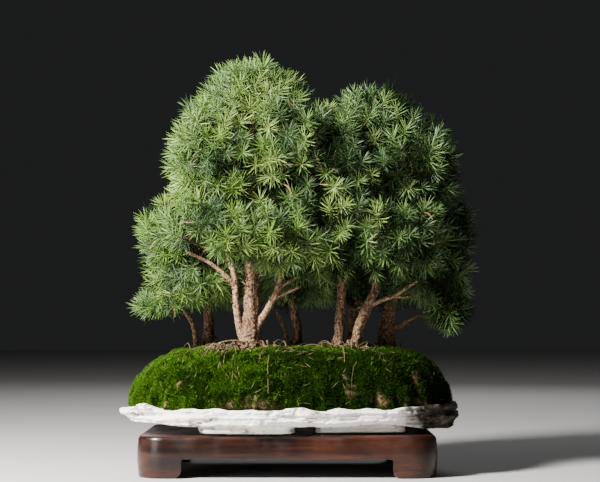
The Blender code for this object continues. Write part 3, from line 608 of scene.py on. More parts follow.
def moss_mesh():
    """The mound with its tufts, and how bare and hollow each place on it is, and how fresh and lit, which is
    partly painted light.
    """
    mesh = smooth_mound()
    tufts = tuft_places()
    near = kdtree.KDTree(len(tufts))
    for i, (spot, _, _) in enumerate(tufts):
        near.insert(spot, i)
    near.balance()
    count = len(mesh.vertices)
    values = {label: np.zeros(count) for label in ("fresh", "bare", "seam")}
    for vertex, normal in zip(mesh.vertices, [Vector(v.normal) for v in mesh.vertices]):
        spot = vertex.co.copy()
        if spot.z < SLAB_TOP + MOSS_GAP + 0.0001:
            continue
        rise = 0.0
        for _, i, distance in near.find_range(spot, TUFT_SIZES[1]):
            _, size, lift = tufts[i]
            if distance < size:
                rise = max(rise, lift * math.sqrt(1 - (distance / size) ** 2))
        grain = noise.noise(spot * 700) + 0.6 * noise.noise(spot * 1500)
        rough = noise.noise(spot * 130)
        step_out = TUFT_RISE * (rise - 0.80) + 0.0006 * grain + 0.0012 * rough
        patch = 0.7 * noise.noise(spot * 28) + 0.8 * noise.noise(spot * 110) + 0.5 * noise.noise(spot * 260)
        leftward = (SLAB_X - spot.x) / 0.16
        upward = (spot.z - SLAB_TOP) / MOUND_HEIGHT
        foot = max(0.0, 1 - upward / 0.22)
        hidden = (noise.noise(spot * 34 + Vector((7, 1, 4))) + 0.5 * noise.noise(spot * 140)) * 3.0 * foot
        crest = max(0.0, upward - 0.93) * 5 * (0.3 + noise.noise(spot * 55 + Vector((2, 8, 1))))
        worn = (noise.noise(spot * 60 + Vector((3, 3, 9))) + 0.4 * noise.noise(spot * 190)) * 2.4 - 1.15
        bald = min(1.0, max(0.0, max(hidden - 0.25, crest, worn)))
        values["bare"][vertex.index] = bald
        # Greener to the left, where the light comes from, and on top: partly painted light over the moss's
        # own green patches.
        greener_and_lit = -0.27 + 1.05 * leftward + 1.3 * patch + 0.35 * upward ** 3
        values["fresh"][vertex.index] = min(1.0, max(0.0, greener_and_lit))
        values["seam"][vertex.index] = max(0.0, 1 - rise / 0.45)
        vertex.co = spot + normal * step_out * (1 - 0.6 * bald)
        vertex.co.z = max(vertex.co.z, SLAB_TOP + MOSS_GAP)
    for label, row in values.items():
        write_values(mesh, label, "FLOAT", row)
    return mesh


def moss_ground():
    """What shows between the leaves: dark green in the tufts, greener to the left and on top as partly
    painted light, darker in the seams as painted shade, and brown soil where it is bare.
    """
    material, tree, shader, spot = new_material("moss_ground", 0.95, 0.0)
    fresh = node(tree, "ShaderNodeAttribute", attribute_name="fresh").outputs["Fac"]
    bare = node(tree, "ShaderNodeAttribute", attribute_name="bare").outputs["Fac"]
    seam = node(tree, "ShaderNodeAttribute", attribute_name="seam").outputs["Fac"]
    # Greener ground to the left and on top: partly painted light.
    base = mix(tree, fresh, (0.004, 0.010, 0.001), (0.016, 0.036, 0.002))
    # Darker ground in the seams between the tufts: painted shade.
    base = mix(tree, seam, base, (0.006, 0.008, 0.003))
    crumbs = blotches(tree, spot, 190.0, 0.4, 0.6)
    soil = mix(tree, crumbs.outputs["Mask"], (0.035, 0.021, 0.011), (0.17, 0.115, 0.060))
    base = mix(tree, bare, base, soil)
    tree.links.new(base, shader.inputs["Base Color"])
    fine = blotches(tree, spot, 900.0, 0.3, 0.7, 3.0)
    bump(tree, shader, fine.outputs["Noise"], 0.0010, 0.8)
    return material


def plain_material(name, colour, roughness, specular):
    """One plain colour, for the small leaves, needles and twigs."""
    material = bpy.data.materials.new(name)
    material.use_nodes = True
    shader = material.node_tree.nodes["Principled BSDF"]
    shader.inputs["Base Color"].default_value = (*colour, 1.0)
    shader.inputs["Roughness"].default_value = roughness
    shader.inputs["Specular IOR Level"].default_value = specular
    return material


def new_geometry_tree(name, inputs):
    """A Geometry Nodes tree with a geometry input and output and named inputs."""
    tree = bpy.data.node_groups.new(name, "GeometryNodeTree")
    tree.interface.new_socket("Geometry", in_out="INPUT", socket_type="NodeSocketGeometry")
    tree.interface.new_socket("Geometry", in_out="OUTPUT", socket_type="NodeSocketGeometry")
    for label, kind in inputs:
        tree.interface.new_socket(label, in_out="INPUT", socket_type=kind)
    return tree, tree.nodes.new("NodeGroupInput"), tree.nodes.new("NodeGroupOutput")


def grow(name, source, tree, values):
    """A mesh made by running a Geometry Nodes tree on a source mesh."""
    carrier = bpy.data.objects.new(name, source)
    bpy.context.scene.collection.objects.link(carrier)
    modifier = carrier.modifiers.new("grow", "NODES")
    modifier.node_group = tree
    for item in tree.interface.items_tree:
        if item.in_out == "INPUT" and item.name in values:
            modifier[item.identifier] = values[item.name]
    shown = carrier.evaluated_get(bpy.context.evaluated_depsgraph_get())
    mesh = bpy.data.meshes.new_from_object(shown)
    bpy.data.objects.remove(carrier)
    mesh.name = name
    return mesh


def bristle_tree():
    """Scatter small pointed leaves on a skin, thicker where an attribute is high."""
    tree, inside, outside = new_geometry_tree("moss_leaves", [
        ("Density", "NodeSocketFloat"), ("Length", "NodeSocketFloat"), ("Width", "NodeSocketFloat"),
        ("Seed", "NodeSocketInt"), ("Fresh", "NodeSocketFloat"), ("Material", "NodeSocketMaterial")])

    def named(label):
        return node(tree, "GeometryNodeInputNamedAttribute", {0: label}, data_type="FLOAT").outputs[0]

    def sum_of(operation, one, other):
        return node(tree, "ShaderNodeMath", {0: one, 1: other}, operation=operation).outputs[0]

    unlike = sum_of("ABSOLUTE", sum_of("SUBTRACT", named("fresh"), inside.outputs["Fresh"]), 0.0)
    wanted = sum_of("SUBTRACT", 1.0, unlike)
    open_ground = sum_of("SUBTRACT", 1.0, named("bare"))
    covered = sum_of("MULTIPLY", open_ground, sum_of("SUBTRACT", 1.0, named("seam")))
    clothed = sum_of("MULTIPLY", wanted, covered)
    density = sum_of("MULTIPLY", clothed, inside.outputs["Density"])
    spread = node(tree, "GeometryNodeDistributePointsOnFaces", {
        "Mesh": inside.outputs["Geometry"], "Density": density, "Seed": inside.outputs["Seed"]})
    leaf = node(tree, "GeometryNodeMeshCone", {
        "Vertices": 3, "Radius Top": 0.0, "Radius Bottom": inside.outputs["Width"],
        "Depth": inside.outputs["Length"]}, fill_type="NONE")
    lean = node(tree, "FunctionNodeRandomValue", {
        0: (-0.65, -0.65, -3.1), 1: (0.65, 0.65, 3.1), "Seed": 3}, data_type="FLOAT_VECTOR")
    turn = node(tree, "FunctionNodeRotateRotation", {
        0: spread.outputs["Rotation"], 1: lean.outputs[0]}, rotation_space="LOCAL")
    size = node(tree, "FunctionNodeRandomValue", {2: 0.45, 3: 1.45, "Seed": 5}, data_type="FLOAT")
    leaves = node(tree, "GeometryNodeInstanceOnPoints", {
        "Points": spread.outputs["Points"], "Instance": leaf.outputs["Mesh"],
        "Rotation": turn.outputs[0], "Scale": size.outputs[1]})
    real = node(tree, "GeometryNodeRealizeInstances", {0: leaves.outputs[0]})
    painted = node(tree, "GeometryNodeSetMaterial", {
        "Geometry": real.outputs[0], "Material": inside.outputs["Material"]})
    tree.links.new(painted.outputs[0], outside.inputs[0])
    return tree


def clothed_area(mesh, wanted):
    """The skin's area, counted by how thickly leaves of one green grow on it."""
    fresh = np.zeros(len(mesh.vertices))
    bare = np.zeros(len(mesh.vertices))
    seam = np.zeros(len(mesh.vertices))
    for label, row in (("fresh", fresh), ("bare", bare), ("seam", seam)):
        mesh.attributes[label].data.foreach_get("value", row)
    share = (1 - np.abs(fresh - wanted)) * (1 - bare) * (1 - seam)
    return sum(face.area * share[list(face.vertices)].mean() for face in mesh.polygons)


moss = moss_mesh()
leafy = bristle_tree()
for number, (tone, colour) in enumerate(MOSS_COLOURS.items()):
    paint = plain_material("moss_leaf_" + tone, colour, 0.9, 0.0)
    wanted = float(tone == "fresh")
    leaves = grow("moss_leaves_" + tone, moss, leafy, {
        "Density": BRISTLES / clothed_area(moss, wanted), "Length": BRISTLE_LENGTH, "Width": BRISTLE_WIDTH,
        "Seed": number, "Fresh": wanted, "Material": paint})
    place("moss_leaves_" + tone, leaves, paint)
place("moss", moss, moss_ground(), ["moss_mound"], 180)


# Litter. Dead straw-coloured needles that have dropped from the trees lie all over the moss, and
# thin dry strands arch over it, most of them in front of the trunks.
LITTER = 420
LITTER_LENGTH = 0.0095
LITTER_WIDTH = 0.00038
LITTER_LIFT = 0.0014
NEEDLE_BEND = 0.12            # how far a needle's tip curves up, in its lengths


def joined(parts):
    """Several lists of points and faces as one."""
    points = []
    faces = []
    for more_points, more_faces in parts:
        shift = len(points)
        points.extend(more_points)
        faces.extend([tuple(shift + i for i in face) for face in more_faces])
    return points, faces


def needle(start, ahead, bent, length, width, roll, full):
    """One needle: stiff, of even width with a short point, or plainer where it is hidden inside."""
    across = ahead.orthogonal().normalized()
    other = ahead.cross(across)
    rounds = ((0.0, 0.85), (0.70, 1.0)) if full else ((0.5, 1.15),)
    points = [] if full else [start]
    for share, girth in rounds:
        middle = start + ahead * length * share + bent * length * share ** 2 * NEEDLE_BEND
        for k in range(3):
            turn = roll + k * 2 * math.pi / 3
            side = across * math.cos(turn) + other * math.sin(turn)
            points.append(middle + side * width * girth / math.sqrt(3))
    points.append(start + ahead * length + bent * length * NEEDLE_BEND)
    last = len(points) - 1
    faces = []
    for k in range(3):
        j = (k + 1) % 3
        faces.append((k, j, 3 + j, 3 + k) if full else (0, 1 + j, 1 + k))
        faces.append((last, last - 3 + k, last - 3 + j))
    return points, faces


def litter_shapes():
    """Thin dead needles, each lying on the mound with a small tilt."""
    parts = []
    for _ in range(LITTER):
        share = chance.uniform(0.0, 1.0) ** 0.4
        middle = mound_point(chance.uniform(0, 2 * math.pi), share)
        beside = mound_at(middle.x + 0.001, middle.y), mound_at(middle.x, middle.y + 0.001)
        upward = (beside[0] - middle).cross(beside[1] - middle).normalized()
        if upward.z < 0:
            upward = -upward
        loose = Vector([chance.gauss(0, 1) for _ in range(3)])
        ahead = (loose - upward * loose.dot(upward) * 0.75).normalized()
        start = middle + upward * LITTER_LIFT - ahead * LITTER_LENGTH / 2
        points, faces = needle(start, ahead, upward, LITTER_LENGTH * chance.uniform(0.6, 1.1),
                               LITTER_WIDTH, chance.uniform(0, 6), False)
        parts.append((points, faces))
    return joined(parts)


STRANDS = 44
STRAND_LENGTHS = (0.012, 0.028)
STRAND_RADIUS = 0.00026
STRAND_LIFT = 0.0015
STRAND_STEPS = 5


def along(points, share):
    """A point on a smooth curve through the points, by share of the way."""
    place_on = min(share, 0.999999) * (len(points) - 1)
    i = int(place_on)
    t = place_on - i
    before, one, other, after = (points[min(max(i + k, 0), len(points) - 1)] for k in (-1, 0, 1, 2))
    return 0.5 * (2 * one + (other - before) * t + (2 * before - 5 * one + 4 * other - after) * t ** 2
                  + (3 * one - before - 3 * other + after) * t ** 3)


def tube(path, radius_at, sides, steps, relief=None):
    """Points and faces of a closed tube along a path, with relief pushed out from its skin."""
    points = []
    side = None
    for step in range(steps + 1):
        share = step / steps
        centre = along(path, share)
        ahead = (along(path, min(1.0, share + 0.01)) - along(path, max(0.0, share - 0.01))).normalized()
        side = ahead.orthogonal() if side is None else side - ahead * side.dot(ahead)
        side.normalize()
        other = ahead.cross(side)
        for k in range(sides):
            turn = k / sides * 2 * math.pi
            outward = side * math.cos(turn) + other * math.sin(turn)
            radius = radius_at(share, turn)
            spot = centre + outward * radius
            if relief:
                spot += outward * relief(spot, radius)
            points.append(spot)
    faces = [
        (a * sides + k, a * sides + (k + 1) % sides, (a + 1) * sides + (k + 1) % sides, (a + 1) * sides + k)
        for a in range(steps) for k in range(sides)]
    faces.append(tuple(range(sides)))
    faces.append(tuple(steps * sides + k for k in reversed(range(sides))))
    return points, faces


def strand_shape():
    """A thin dry strand that arches over the moss between two places."""
    near_trunk = chance.random() < 0.6
    foot = mound_at(chance.uniform(-0.085, 0.055), -0.036 - chance.uniform(0, 0.018)) if near_trunk else (
        mound_point(chance.uniform(0, 2 * math.pi), chance.uniform(0.2, 1.0) ** 0.4))
    bearing = chance.uniform(0, 2 * math.pi)
    path = [foot]
    length = chance.uniform(*STRAND_LENGTHS)
    for _ in range(STRAND_STEPS):
        bearing += chance.uniform(-0.5, 0.5)
        last = path[-1]
        path.append(mound_at(last.x + math.cos(bearing) * length / STRAND_STEPS,
                             last.y + math.sin(bearing) * length / STRAND_STEPS))
    arch = chance.uniform(0.003, 0.007)
    lifts = [STRAND_LIFT + arch * math.sin(math.pi * i / STRAND_STEPS) for i in range(STRAND_STEPS + 1)]
    path = [spot + Vector((0, 0, lift)) for spot, lift in zip(path, lifts)]
    return tube(path, lambda share, turn: STRAND_RADIUS * (1.1 - 0.6 * share), 3, 10)


straw = plain_material("straw", (0.120, 0.095, 0.038), 0.8, 0.2)
place("litter", new_mesh("litter", *litter_shapes()), straw)
strands = joined([strand_shape() for _ in range(STRANDS)])
place("dry_strands", new_mesh("dry_strands", *strands), straw)


# Trunks and boughs. Seven dwarf spruce trunks with flaky, fissured, reddish bark, paler where the
# light falls, that flare into the moss, and thin boughs whose bark is smoother and tan.
LIMBS = {                     # points (no height: on the moss), girth at foot and tip, flare
    "trunk_rear_left": ((-0.097, 0.025, None), (-0.096, 0.025, 0.148), (-0.100, 0.021, 0.190),
                        (-0.110, 0.012, 0.262), (0.0068, 0.0028), 0.60),
    "trunk_main": ((-0.0524, -0.035, None), (-0.0515, -0.033, 0.176), (-0.049, -0.018, 0.272),
                   (-0.050, -0.006, 0.322), (0.0098, 0.0037), 1.05),
    "trunk_rear_middle": ((-0.0070, 0.035, None), (-0.0065, 0.034, 0.140), (-0.0100, 0.032, 0.172),
                          (0.003, 0.030, 0.230), (0.008, 0.028, 0.298), (0.0054, 0.0026), 0.30),
    "trunk_front_right": ((0.0340, -0.018, None), (0.0378, -0.020, 0.174), (0.037, -0.021, 0.230),
                          (0.035, -0.022, 0.292), (0.0057, 0.0026), 0.25),
    "trunk_leaning": ((0.0490, -0.034, None), (0.0555, -0.033, 0.145), (0.0645, -0.034, 0.165),
                      (0.0709, -0.034, 0.185), (0.072, -0.020, 0.245), (0.071, -0.009, 0.298),
                      (0.0056, 0.0026), 0.25),
    "trunk_rear_right": ((0.0854, 0.025, None), (0.0849, 0.025, 0.143), (0.0889, 0.024, 0.161),
                         (0.105, 0.018, 0.220), (0.120, 0.009, 0.270), (0.0090, 0.0030), 0.75),
    "trunk_rear_shaded": ((0.0487, 0.038, None), (0.0530, 0.041, 0.175), (0.061, 0.046, 0.235),
                          (0.068, 0.050, 0.285), (0.0055, 0.0026), 0.25),
    "stem_far_left": ((-0.1075, 0.0145, None), (-0.1100, 0.015, 0.139), (-0.1145, 0.014, 0.150),
                      (-0.127, 0.004, 0.167), (0.0030, 0.0018), 0.2),
    "stem_middle_left": ((-0.0160, 0.028, None), (-0.0180, 0.028, 0.136), (-0.0239, 0.0275, 0.150),
                         (-0.0275, 0.027, 0.158), (0.0022, 0.0014), 0.2),
    "bough_main_left": ((-0.054, -0.034, 0.121), (-0.0615, -0.037, 0.138), (-0.0655, -0.040, 0.163),
                        (-0.0670, -0.043, 0.190), (-0.0735, -0.046, 0.211), (0.0036, 0.0022), 0.5),
    "bough_far_left": ((-0.067, -0.0415, 0.180), (-0.072, -0.044, 0.188), (-0.090, -0.045, 0.203),
                       (-0.113, -0.045, 0.2145), (0.0023, 0.0013), 0.3),
    "bough_main_right": ((-0.051, -0.035, 0.138), (-0.042, -0.037, 0.148), (-0.0292, -0.044, 0.169),
                         (-0.024, -0.048, 0.182), (-0.0219, -0.050, 0.194), (0.0034, 0.0020), 0.5),
    "bough_right_fork_upper": ((-0.0245, -0.047, 0.180), (-0.021, -0.046, 0.1815),
                               (-0.012, -0.044, 0.187), (-0.0035, -0.042, 0.191),
                               (0.0016, 0.0011), 0.3),
    "bough_right_fork_lower": ((-0.0285, -0.0445, 0.170), (-0.024, -0.045, 0.171),
                               (-0.014, -0.048, 0.176), (-0.0035, -0.050, 0.181),
                               (0.0016, 0.0011), 0.3),
    "bough_right_upper": ((0.0655, -0.034, 0.163), (0.078, -0.036, 0.168), (0.0895, -0.038, 0.172),
                          (0.101, -0.041, 0.180), (0.111, -0.043, 0.1865), (0.0019, 0.0012), 0.4),
    "bough_right_lower": ((0.088, -0.037, 0.1715), (0.095, -0.034, 0.171), (0.104, -0.031, 0.1715),
                          (0.1146, -0.028, 0.174), (0.0015, 0.0010), 0.3),
    "bough_far_right": ((0.0850, 0.025, 0.140), (0.098, 0.021, 0.142), (0.104, 0.017, 0.147),
                        (0.1152, 0.010, 0.1535), (0.0023, 0.0014), 0.4),
}
FOOT_DEPTH = 0.006
BARK_STEP = 0.0011
TAPER_POWER = 1.5             # a trunk keeps its girth up to the crown
FLARE_FADE = 7                # how soon the flare dies out, going up
TRUNK_SIDES = 34
BOUGH_SIDES = 16


def limb_path(name):
    """The limb's own points, with its foot set a little way into the moss."""
    *points, radii, flare = LIMBS[name]
    if points[0][2] is None:
        foot = mound_at(points[0][0], points[0][1])
        points[0] = (foot.x, foot.y, foot.z - FOOT_DEPTH)
        points.insert(1, tuple(Vector(points[0]).lerp(Vector(points[1]), 0.3)))
    return [Vector(point) for point in points], radii, flare


def bark_relief(spot, radius):
    """Flakes with fissures between them, and slow swellings."""
    drawn = Vector((spot.x * 330, spot.y * 330, spot.z * 190))
    crack = max(0.0, 1 - abs(noise.noise(drawn)) * 4.5)
    plate = math.floor(3.0 * noise.noise(drawn * 0.6 + Vector((4, 4, 4)))) / 3.0
    swelling = noise.noise(spot * 62)
    fine = noise.noise(Vector((spot.x * 1100, spot.y * 1100, spot.z * 700)))
    return radius * (0.15 * plate - 0.13 * crack + 0.12 * swelling + 0.05 * fine)


def twig_relief(spot, radius):
    """The knobs and needle scars of a thin bough."""
    knob = max(0.0, noise.noise(spot * 260)) ** 2
    return radius * (0.55 * knob + 0.14 * noise.noise(spot * 650))


def limb_shape(name):
    """One trunk, stem or bough with its bark."""
    path, radii, flare = limb_path(name)
    length = sum((b - a).length for a, b in zip(path, path[1:]))
    turned = chance.uniform(0, 6.28)
    thick = name.startswith("trunk")

    def radius_at(share, turn):
        lobes = 0.10 * math.cos(3 * turn + turned) + 0.06 * math.cos(5 * turn - turned)
        spread = flare * math.exp(-share * FLARE_FADE)
        body = radii[0] + (radii[1] - radii[0]) * share ** TAPER_POWER
        return body * (1 + spread * (1 + 2.2 * lobes) + 0.4 * lobes)

    sides = TRUNK_SIDES if thick else BOUGH_SIDES
    return tube(path, radius_at, sides, int(length / BARK_STEP), bark_relief if thick else twig_relief)


def bark_material(name, dark, middle, pale, scale):
    """Flaky bark: dark fissures, brown plates and pale worn faces, drawn out along Z."""
    material, tree, shader, spot = new_material(name, 0.85, 0.2)
    drawn = node(tree, "ShaderNodeMapping", {
        "Vector": spot, "Scale": (scale, scale, scale * 0.8)}).outputs[0]
    flakes = blotches(tree, drawn, 1.0, 0.0, 1.0, 5.0)
    base = ramp(tree, flakes.outputs["Noise"], (
        (0.36, dark), (0.44, middle), (0.50, middle), (0.58, pale)))
    wide = blotches(tree, spot, 60.0, 0.42, 0.62, 3.0)
    base = mix(tree, wide.outputs["Mask"], base, mix(tree, 0.35, base, pale))
    gaps = blotches(tree, drawn, 1.5, 0.545, 0.60, 2.0)
    base = mix(tree, gaps.outputs["Mask"], base, dark)
    tree.links.new(base, shader.inputs["Base Color"])
    bump(tree, shader, flakes.outputs["Noise"], 0.0020, 1.0)
    return material


BARK = bark_material(
    "bark", (0.022, 0.011, 0.007), (0.125, 0.066, 0.036), (0.29, 0.182, 0.104), 420.0)
PALE_BARK = bark_material(
    "pale_bark", (0.038, 0.019, 0.010), (0.19, 0.105, 0.056), (0.40, 0.265, 0.155), 480.0)
ROOT_BARK = bark_material(
    "root_bark", (0.020, 0.011, 0.006), (0.085, 0.052, 0.026), (0.26, 0.180, 0.100), 480.0)

trunk_names = [name for name in LIMBS if name.startswith("trunk")]
thin_names = [name for name in LIMBS if not name.startswith("trunk")]
place("trunks", new_mesh("trunks", *joined(limb_shape(name) for name in trunk_names)), BARK,
      trunk_names, 180)
place("boughs", new_mesh("boughs", *joined(limb_shape(name) for name in thin_names)), PALE_BARK,
      thin_names, 180)


# Surface roots and dead twigs. Fine tan roots run out of the moss at each foot, thickest and most
# tangled left of the main trunk, and a few bare twigs and stubs are left on the trunks.
ROOTS = {                     # how many at each foot, and how far they run
    "trunk_rear_left": (6, 0.012), "trunk_main": (12, 0.018), "trunk_rear_middle": (4, 0.010),
    "trunk_front_right": (5, 0.012), "trunk_leaning": (8, 0.016), "trunk_rear_right": (6, 0.014),
    "trunk_rear_shaded": (3, 0.012)}
STUBS = (                     # three points of each dead twig and its girth
    ((-0.0600, -0.040, 0.186), (-0.0555, -0.046, 0.1815), (-0.0590, -0.048, 0.1780), 0.0007),
    ((-0.0480, -0.045, 0.212), (-0.0430, -0.049, 0.206), (-0.0480, -0.052, 0.1950), 0.0008),
    ((-0.0480, -0.052, 0.195), (-0.0500, -0.051, 0.188), (-0.0420, -0.048, 0.1820), 0.0007),
    ((-0.0440, -0.040, 0.190), (-0.0340, -0.044, 0.200), (-0.0290, -0.047, 0.2080), 0.0006),
    ((-0.0660, -0.041, 0.183), (-0.0790, -0.046, 0.187), (-0.0850, -0.048, 0.1900), 0.0009),
    ((-0.0670, -0.041, 0.197), (-0.0740, -0.046, 0.205), (-0.0790, -0.048, 0.2120), 0.0008),
    ((-0.0245, -0.047, 0.181), (-0.0290, -0.050, 0.185), (-0.0310, -0.051, 0.1860), 0.0007),
    ((-0.0665, -0.040, 0.163), (-0.0700, -0.043, 0.166), (-0.0705, -0.044, 0.1700), 0.0007),
    ((-0.0320, -0.044, 0.166), (-0.0330, -0.048, 0.171), (-0.0320, -0.049, 0.1730), 0.0006),
    ((0.0640, -0.036, 0.162), (0.0560, -0.042, 0.161), (0.0490, -0.045, 0.1580), 0.0009),
    ((0.0600, -0.036, 0.158), (0.0550, -0.040, 0.166), (0.0520, -0.042, 0.1640), 0.0008),
    ((0.0700, 0.030, 0.165), (0.0760, 0.028, 0.160), (0.0840, 0.026, 0.1480), 0.0011),
    ((-0.0060, 0.030, 0.164), (-0.0100, 0.026, 0.168), (-0.0120, 0.025, 0.1710), 0.0008),
    ((0.1010, 0.018, 0.146), (0.1080, 0.012, 0.144), (0.1130, 0.009, 0.1450), 0.0009))
LOOP = (                      # the thick root that loops down left of the main trunk
    (-0.004, -0.002, 0.006), (-0.016, -0.006, 0.008), (-0.030, -0.009, 0.005),
    (-0.037, -0.012, -0.006), (-0.037, -0.014, -0.018))
RING_REACH = 0.0098           # a root that winds round the rear left trunk's foot
ROOT_RISE = 0.0008            # half buried in the moss's leaves
ROOT_STEPS = 7
TANGLE_ROOTS = 26             # left of the main trunk
CREST_ROOTS = 4               # along the front of the crest


def root_shape(foot, bearing, length, radius, lift):
    """A thin root that runs over the moss, rising in low arches, and goes down into it."""
    path = [foot]
    place_on = foot.copy()
    for step in range(1, ROOT_STEPS + 1):
        bearing += chance.uniform(-0.30, 0.30)
        place_on = place_on + Vector((math.cos(bearing), math.sin(bearing), 0)) * length / ROOT_STEPS
        ground = mound_at(place_on.x, place_on.y).z + ROOT_RISE
        arch = lift * chance.uniform(0.0, 1.0) * math.sin(math.pi * step / ROOT_STEPS)
        path.append(Vector((place_on.x, place_on.y, ground + arch - 0.004 * (step == ROOT_STEPS))))
    return tube(path, lambda share, turn: radius * (1 - 0.6 * share), 5, 4 * ROOT_STEPS)


def roots_and_stubs():
    """Every surface root, the loop and tangle by the main trunk, and the dead twigs."""
    parts = []
    for name, (count, length) in ROOTS.items():
        path, radii, flare = limb_path(name)
        foot = mound_at(path[0].x, path[0].y)
        for step in range(count):
            bearing = step / count * 2 * math.pi + chance.uniform(-0.4, 0.4)
            radius = chance.uniform(0.0005, 0.0014)
            way = Vector((math.cos(bearing), math.sin(bearing), 0))
            start = foot + way * radii[0] * (0.7 + flare) + Vector((0, 0, 0.004 + 3 * radius))
            parts.append(root_shape(start, bearing, length * chance.uniform(0.6, 1.3), radius, 0.003))
    main = mound_at(-0.052, -0.045)
    loop = [Vector(spot) + main for spot in LOOP]
    parts.append(tube(loop, lambda share, turn: 0.0011 * (1 - 0.4 * share), 6, 30))
    rear = mound_at(-0.097, 0.025) + Vector((0, 0, 0.010))
    ring = []
    for step in range(10):
        turn = step * 0.7
        ring.append(rear + Vector((
            RING_REACH * math.cos(turn), RING_REACH * math.sin(turn), 0.0016 * math.sin(step))))
    parts.append(tube(ring, lambda share, turn: 0.0009, 6, 40))
    for _ in range(TANGLE_ROOTS):
        start = mound_at(-0.050 - chance.uniform(0.0, 0.034), -0.040 - chance.uniform(0, 0.020))
        parts.append(root_shape(start, chance.uniform(2.7, 4.4), chance.uniform(0.018, 0.042),
                                chance.uniform(0.0003, 0.0007), 0.008))
    for _ in range(CREST_ROOTS):
        start = mound_at(chance.uniform(-0.050, 0.065), -0.034 - chance.uniform(0, 0.014))
        parts.append(root_shape(start, chance.choice((0.0, math.pi)) + chance.uniform(-0.7, 0.5),
                                chance.uniform(0.010, 0.034), chance.uniform(0.0003, 0.0006), 0.003))
    for *spots, radius in STUBS:
        path = [Vector(spot) for spot in spots]
        parts.append(tube(path, lambda share, turn: radius * (1 - 0.55 * share), 6, 10))
    return joined(parts)


place("roots_and_dead_twigs", new_mesh("roots_and_dead_twigs", *roots_and_stubs()), ROOT_BARK,
      (), 180)


# Foliage. Two joined crowns of needles. Each mass of the solids becomes boughs, finer twigs and, at
# their ends, shoots that bristle with short needles, thickest on the crown's skin. The needles are
# fresh yellow green low on the left, paler on the lit left and darker blue green on the right, which is
# partly painted light and shade, and near black inside and in the hollows, which is painted shade.
CROWNS = {                    # the crown's middle, and for each tier of masses its level, distance out,
    # number, first bearing, step in bearing, radius and half height
    "left": (-0.050, (
        ("apex", 0.362, 0.000, 1, 0, 0, 0.059, 0.055),
        ("tuft", 0.167, 0.086, 1, 186, 0, 0.038, 0.014),
        ("shoulder", 0.309, 0.047, 4, 45, 90, 0.056, 0.066),
        ("belly", 0.234, 0.063, 5, 54, 63, 0.057, 0.046),
        ("skirt", 0.198, 0.054, 4, 185, -60, 0.052, 0.039))),
    "right": (0.068, (
        ("apex", 0.335, 0.003, 1, 0, 0, 0.053, 0.055),
        ("tuft", 0.163, 0.076, 1, -4, 0, 0.030, 0.029),
        ("shoulder", 0.297, 0.050, 4, 45, 90, 0.053, 0.059),
        ("belly", 0.234, 0.054, 5, 126, -63, 0.054, 0.053),
        ("skirt", 0.196, 0.056, 3, -8, 62, 0.051, 0.039))),
}
LAYERS = (                    # share of the reach, distance between shoots, size
    (0.985, 0.0130, 1.00), (0.84, 0.0160, 1.05), (0.64, 0.0250, 1.10))
SHOOT_LENGTH = 0.0150
FULL_NEEDLES = 40
PLAIN_NEEDLES = 42
NEEDLE_LENGTH = 0.0132
NEEDLE_WIDTH = 0.00056
BARE_TWIG_SHARE = 0.09
FORKS = 11                    # finer boughs in each mass
HOLLOW = -0.055               # lumps lower than this are shaded hollows
SOFTNESS = 8.0                # of the creases where two masses meet: the lower, the softer
SEARCH_STEPS = 14             # halvings that find the crown's skin along a ray
GOLDEN_ANGLE = 2.399963       # spreads points evenly round an axis
WANDER = 0.42                 # how far a shoot strays from straight out
UPWARD = 0.22                 # how much it turns to the sky
FULL_KINDS = 6                # the shoots of the crown's skin
PLAIN_KINDS = 3               # the shoots behind them
TWIG_TINT = (0.085, 0.048, 0.024)
OLD_TWIG_TINT = (0.36, 0.21, 0.110)
SHOWN = {                     # the stretch of each limb that the crown leaves open, and how widely
    "trunk_main": (0.0, 0.56, 0.013), "bough_main_left": (0.1, 0.85, 0.013),
    "bough_far_left": (0.1, 0.9, 0.014), "bough_main_right": (0.1, 0.9, 0.013),
    "bough_right_fork_upper": (0.1, 0.9, 0.014), "bough_right_fork_lower": (0.1, 0.9, 0.014),
    "trunk_front_right": (0.0, 0.48, 0.012), "trunk_leaning": (0.0, 0.54, 0.012),
    "bough_right_upper": (0.0, 0.9, 0.016), "bough_right_lower": (0.0, 0.95, 0.017),
    "trunk_rear_middle": (0.0, 0.58, 0.012), "trunk_rear_right": (0.0, 0.40, 0.012),
    "bough_far_right": (0.1, 0.95, 0.015), "trunk_rear_left": (0.0, 0.36, 0.012),
    "stem_far_left": (0.0, 0.75, 0.012), "stem_middle_left": (0.0, 0.9, 0.013)}
LIT = {"trunk_main": (0.12, 0.56, 0.010)}     # the stretch that the light reaches too
EYE = camera.location - GROUP_SHIFT           # where the trees are looked at from
WINDOW = Vector((-0.74, -0.57, 0.74))         # where the light comes from
# The pale green, dealt to the lit left, is partly painted light; the deep and inner greens inside the crown,
# in its hollows and on the right-hand side are painted shade.
GREENS = {
    "pale": (0.190, 0.290, 0.066), "fresh": (0.120, 0.215, 0.030), "middle": (0.105, 0.184, 0.046),
    "blue": (0.062, 0.114, 0.038), "deep": (0.007, 0.016, 0.004), "inner": (0.0018, 0.0035, 0.0011)}
SHADED = ("deep", "inner")                    # the greens without a shine


def crown_masses():
    """Centre, radius and half height of each mass of foliage, and the name of its solid."""
    masses = []
    for side, (middle, tiers) in CROWNS.items():
        for tier, level, ring, count, first, step, radius, half_height in tiers:
            for i in range(count):
                bearing = math.radians(first + step * i)
                centre = Vector((middle + ring * math.cos(bearing), ring * math.sin(bearing), level))
                label = "foliage_" + side + "_" + tier + ("_" + str(i + 1) if count > 1 else "")
                masses.append((label, centre, radius, half_height))
    return masses


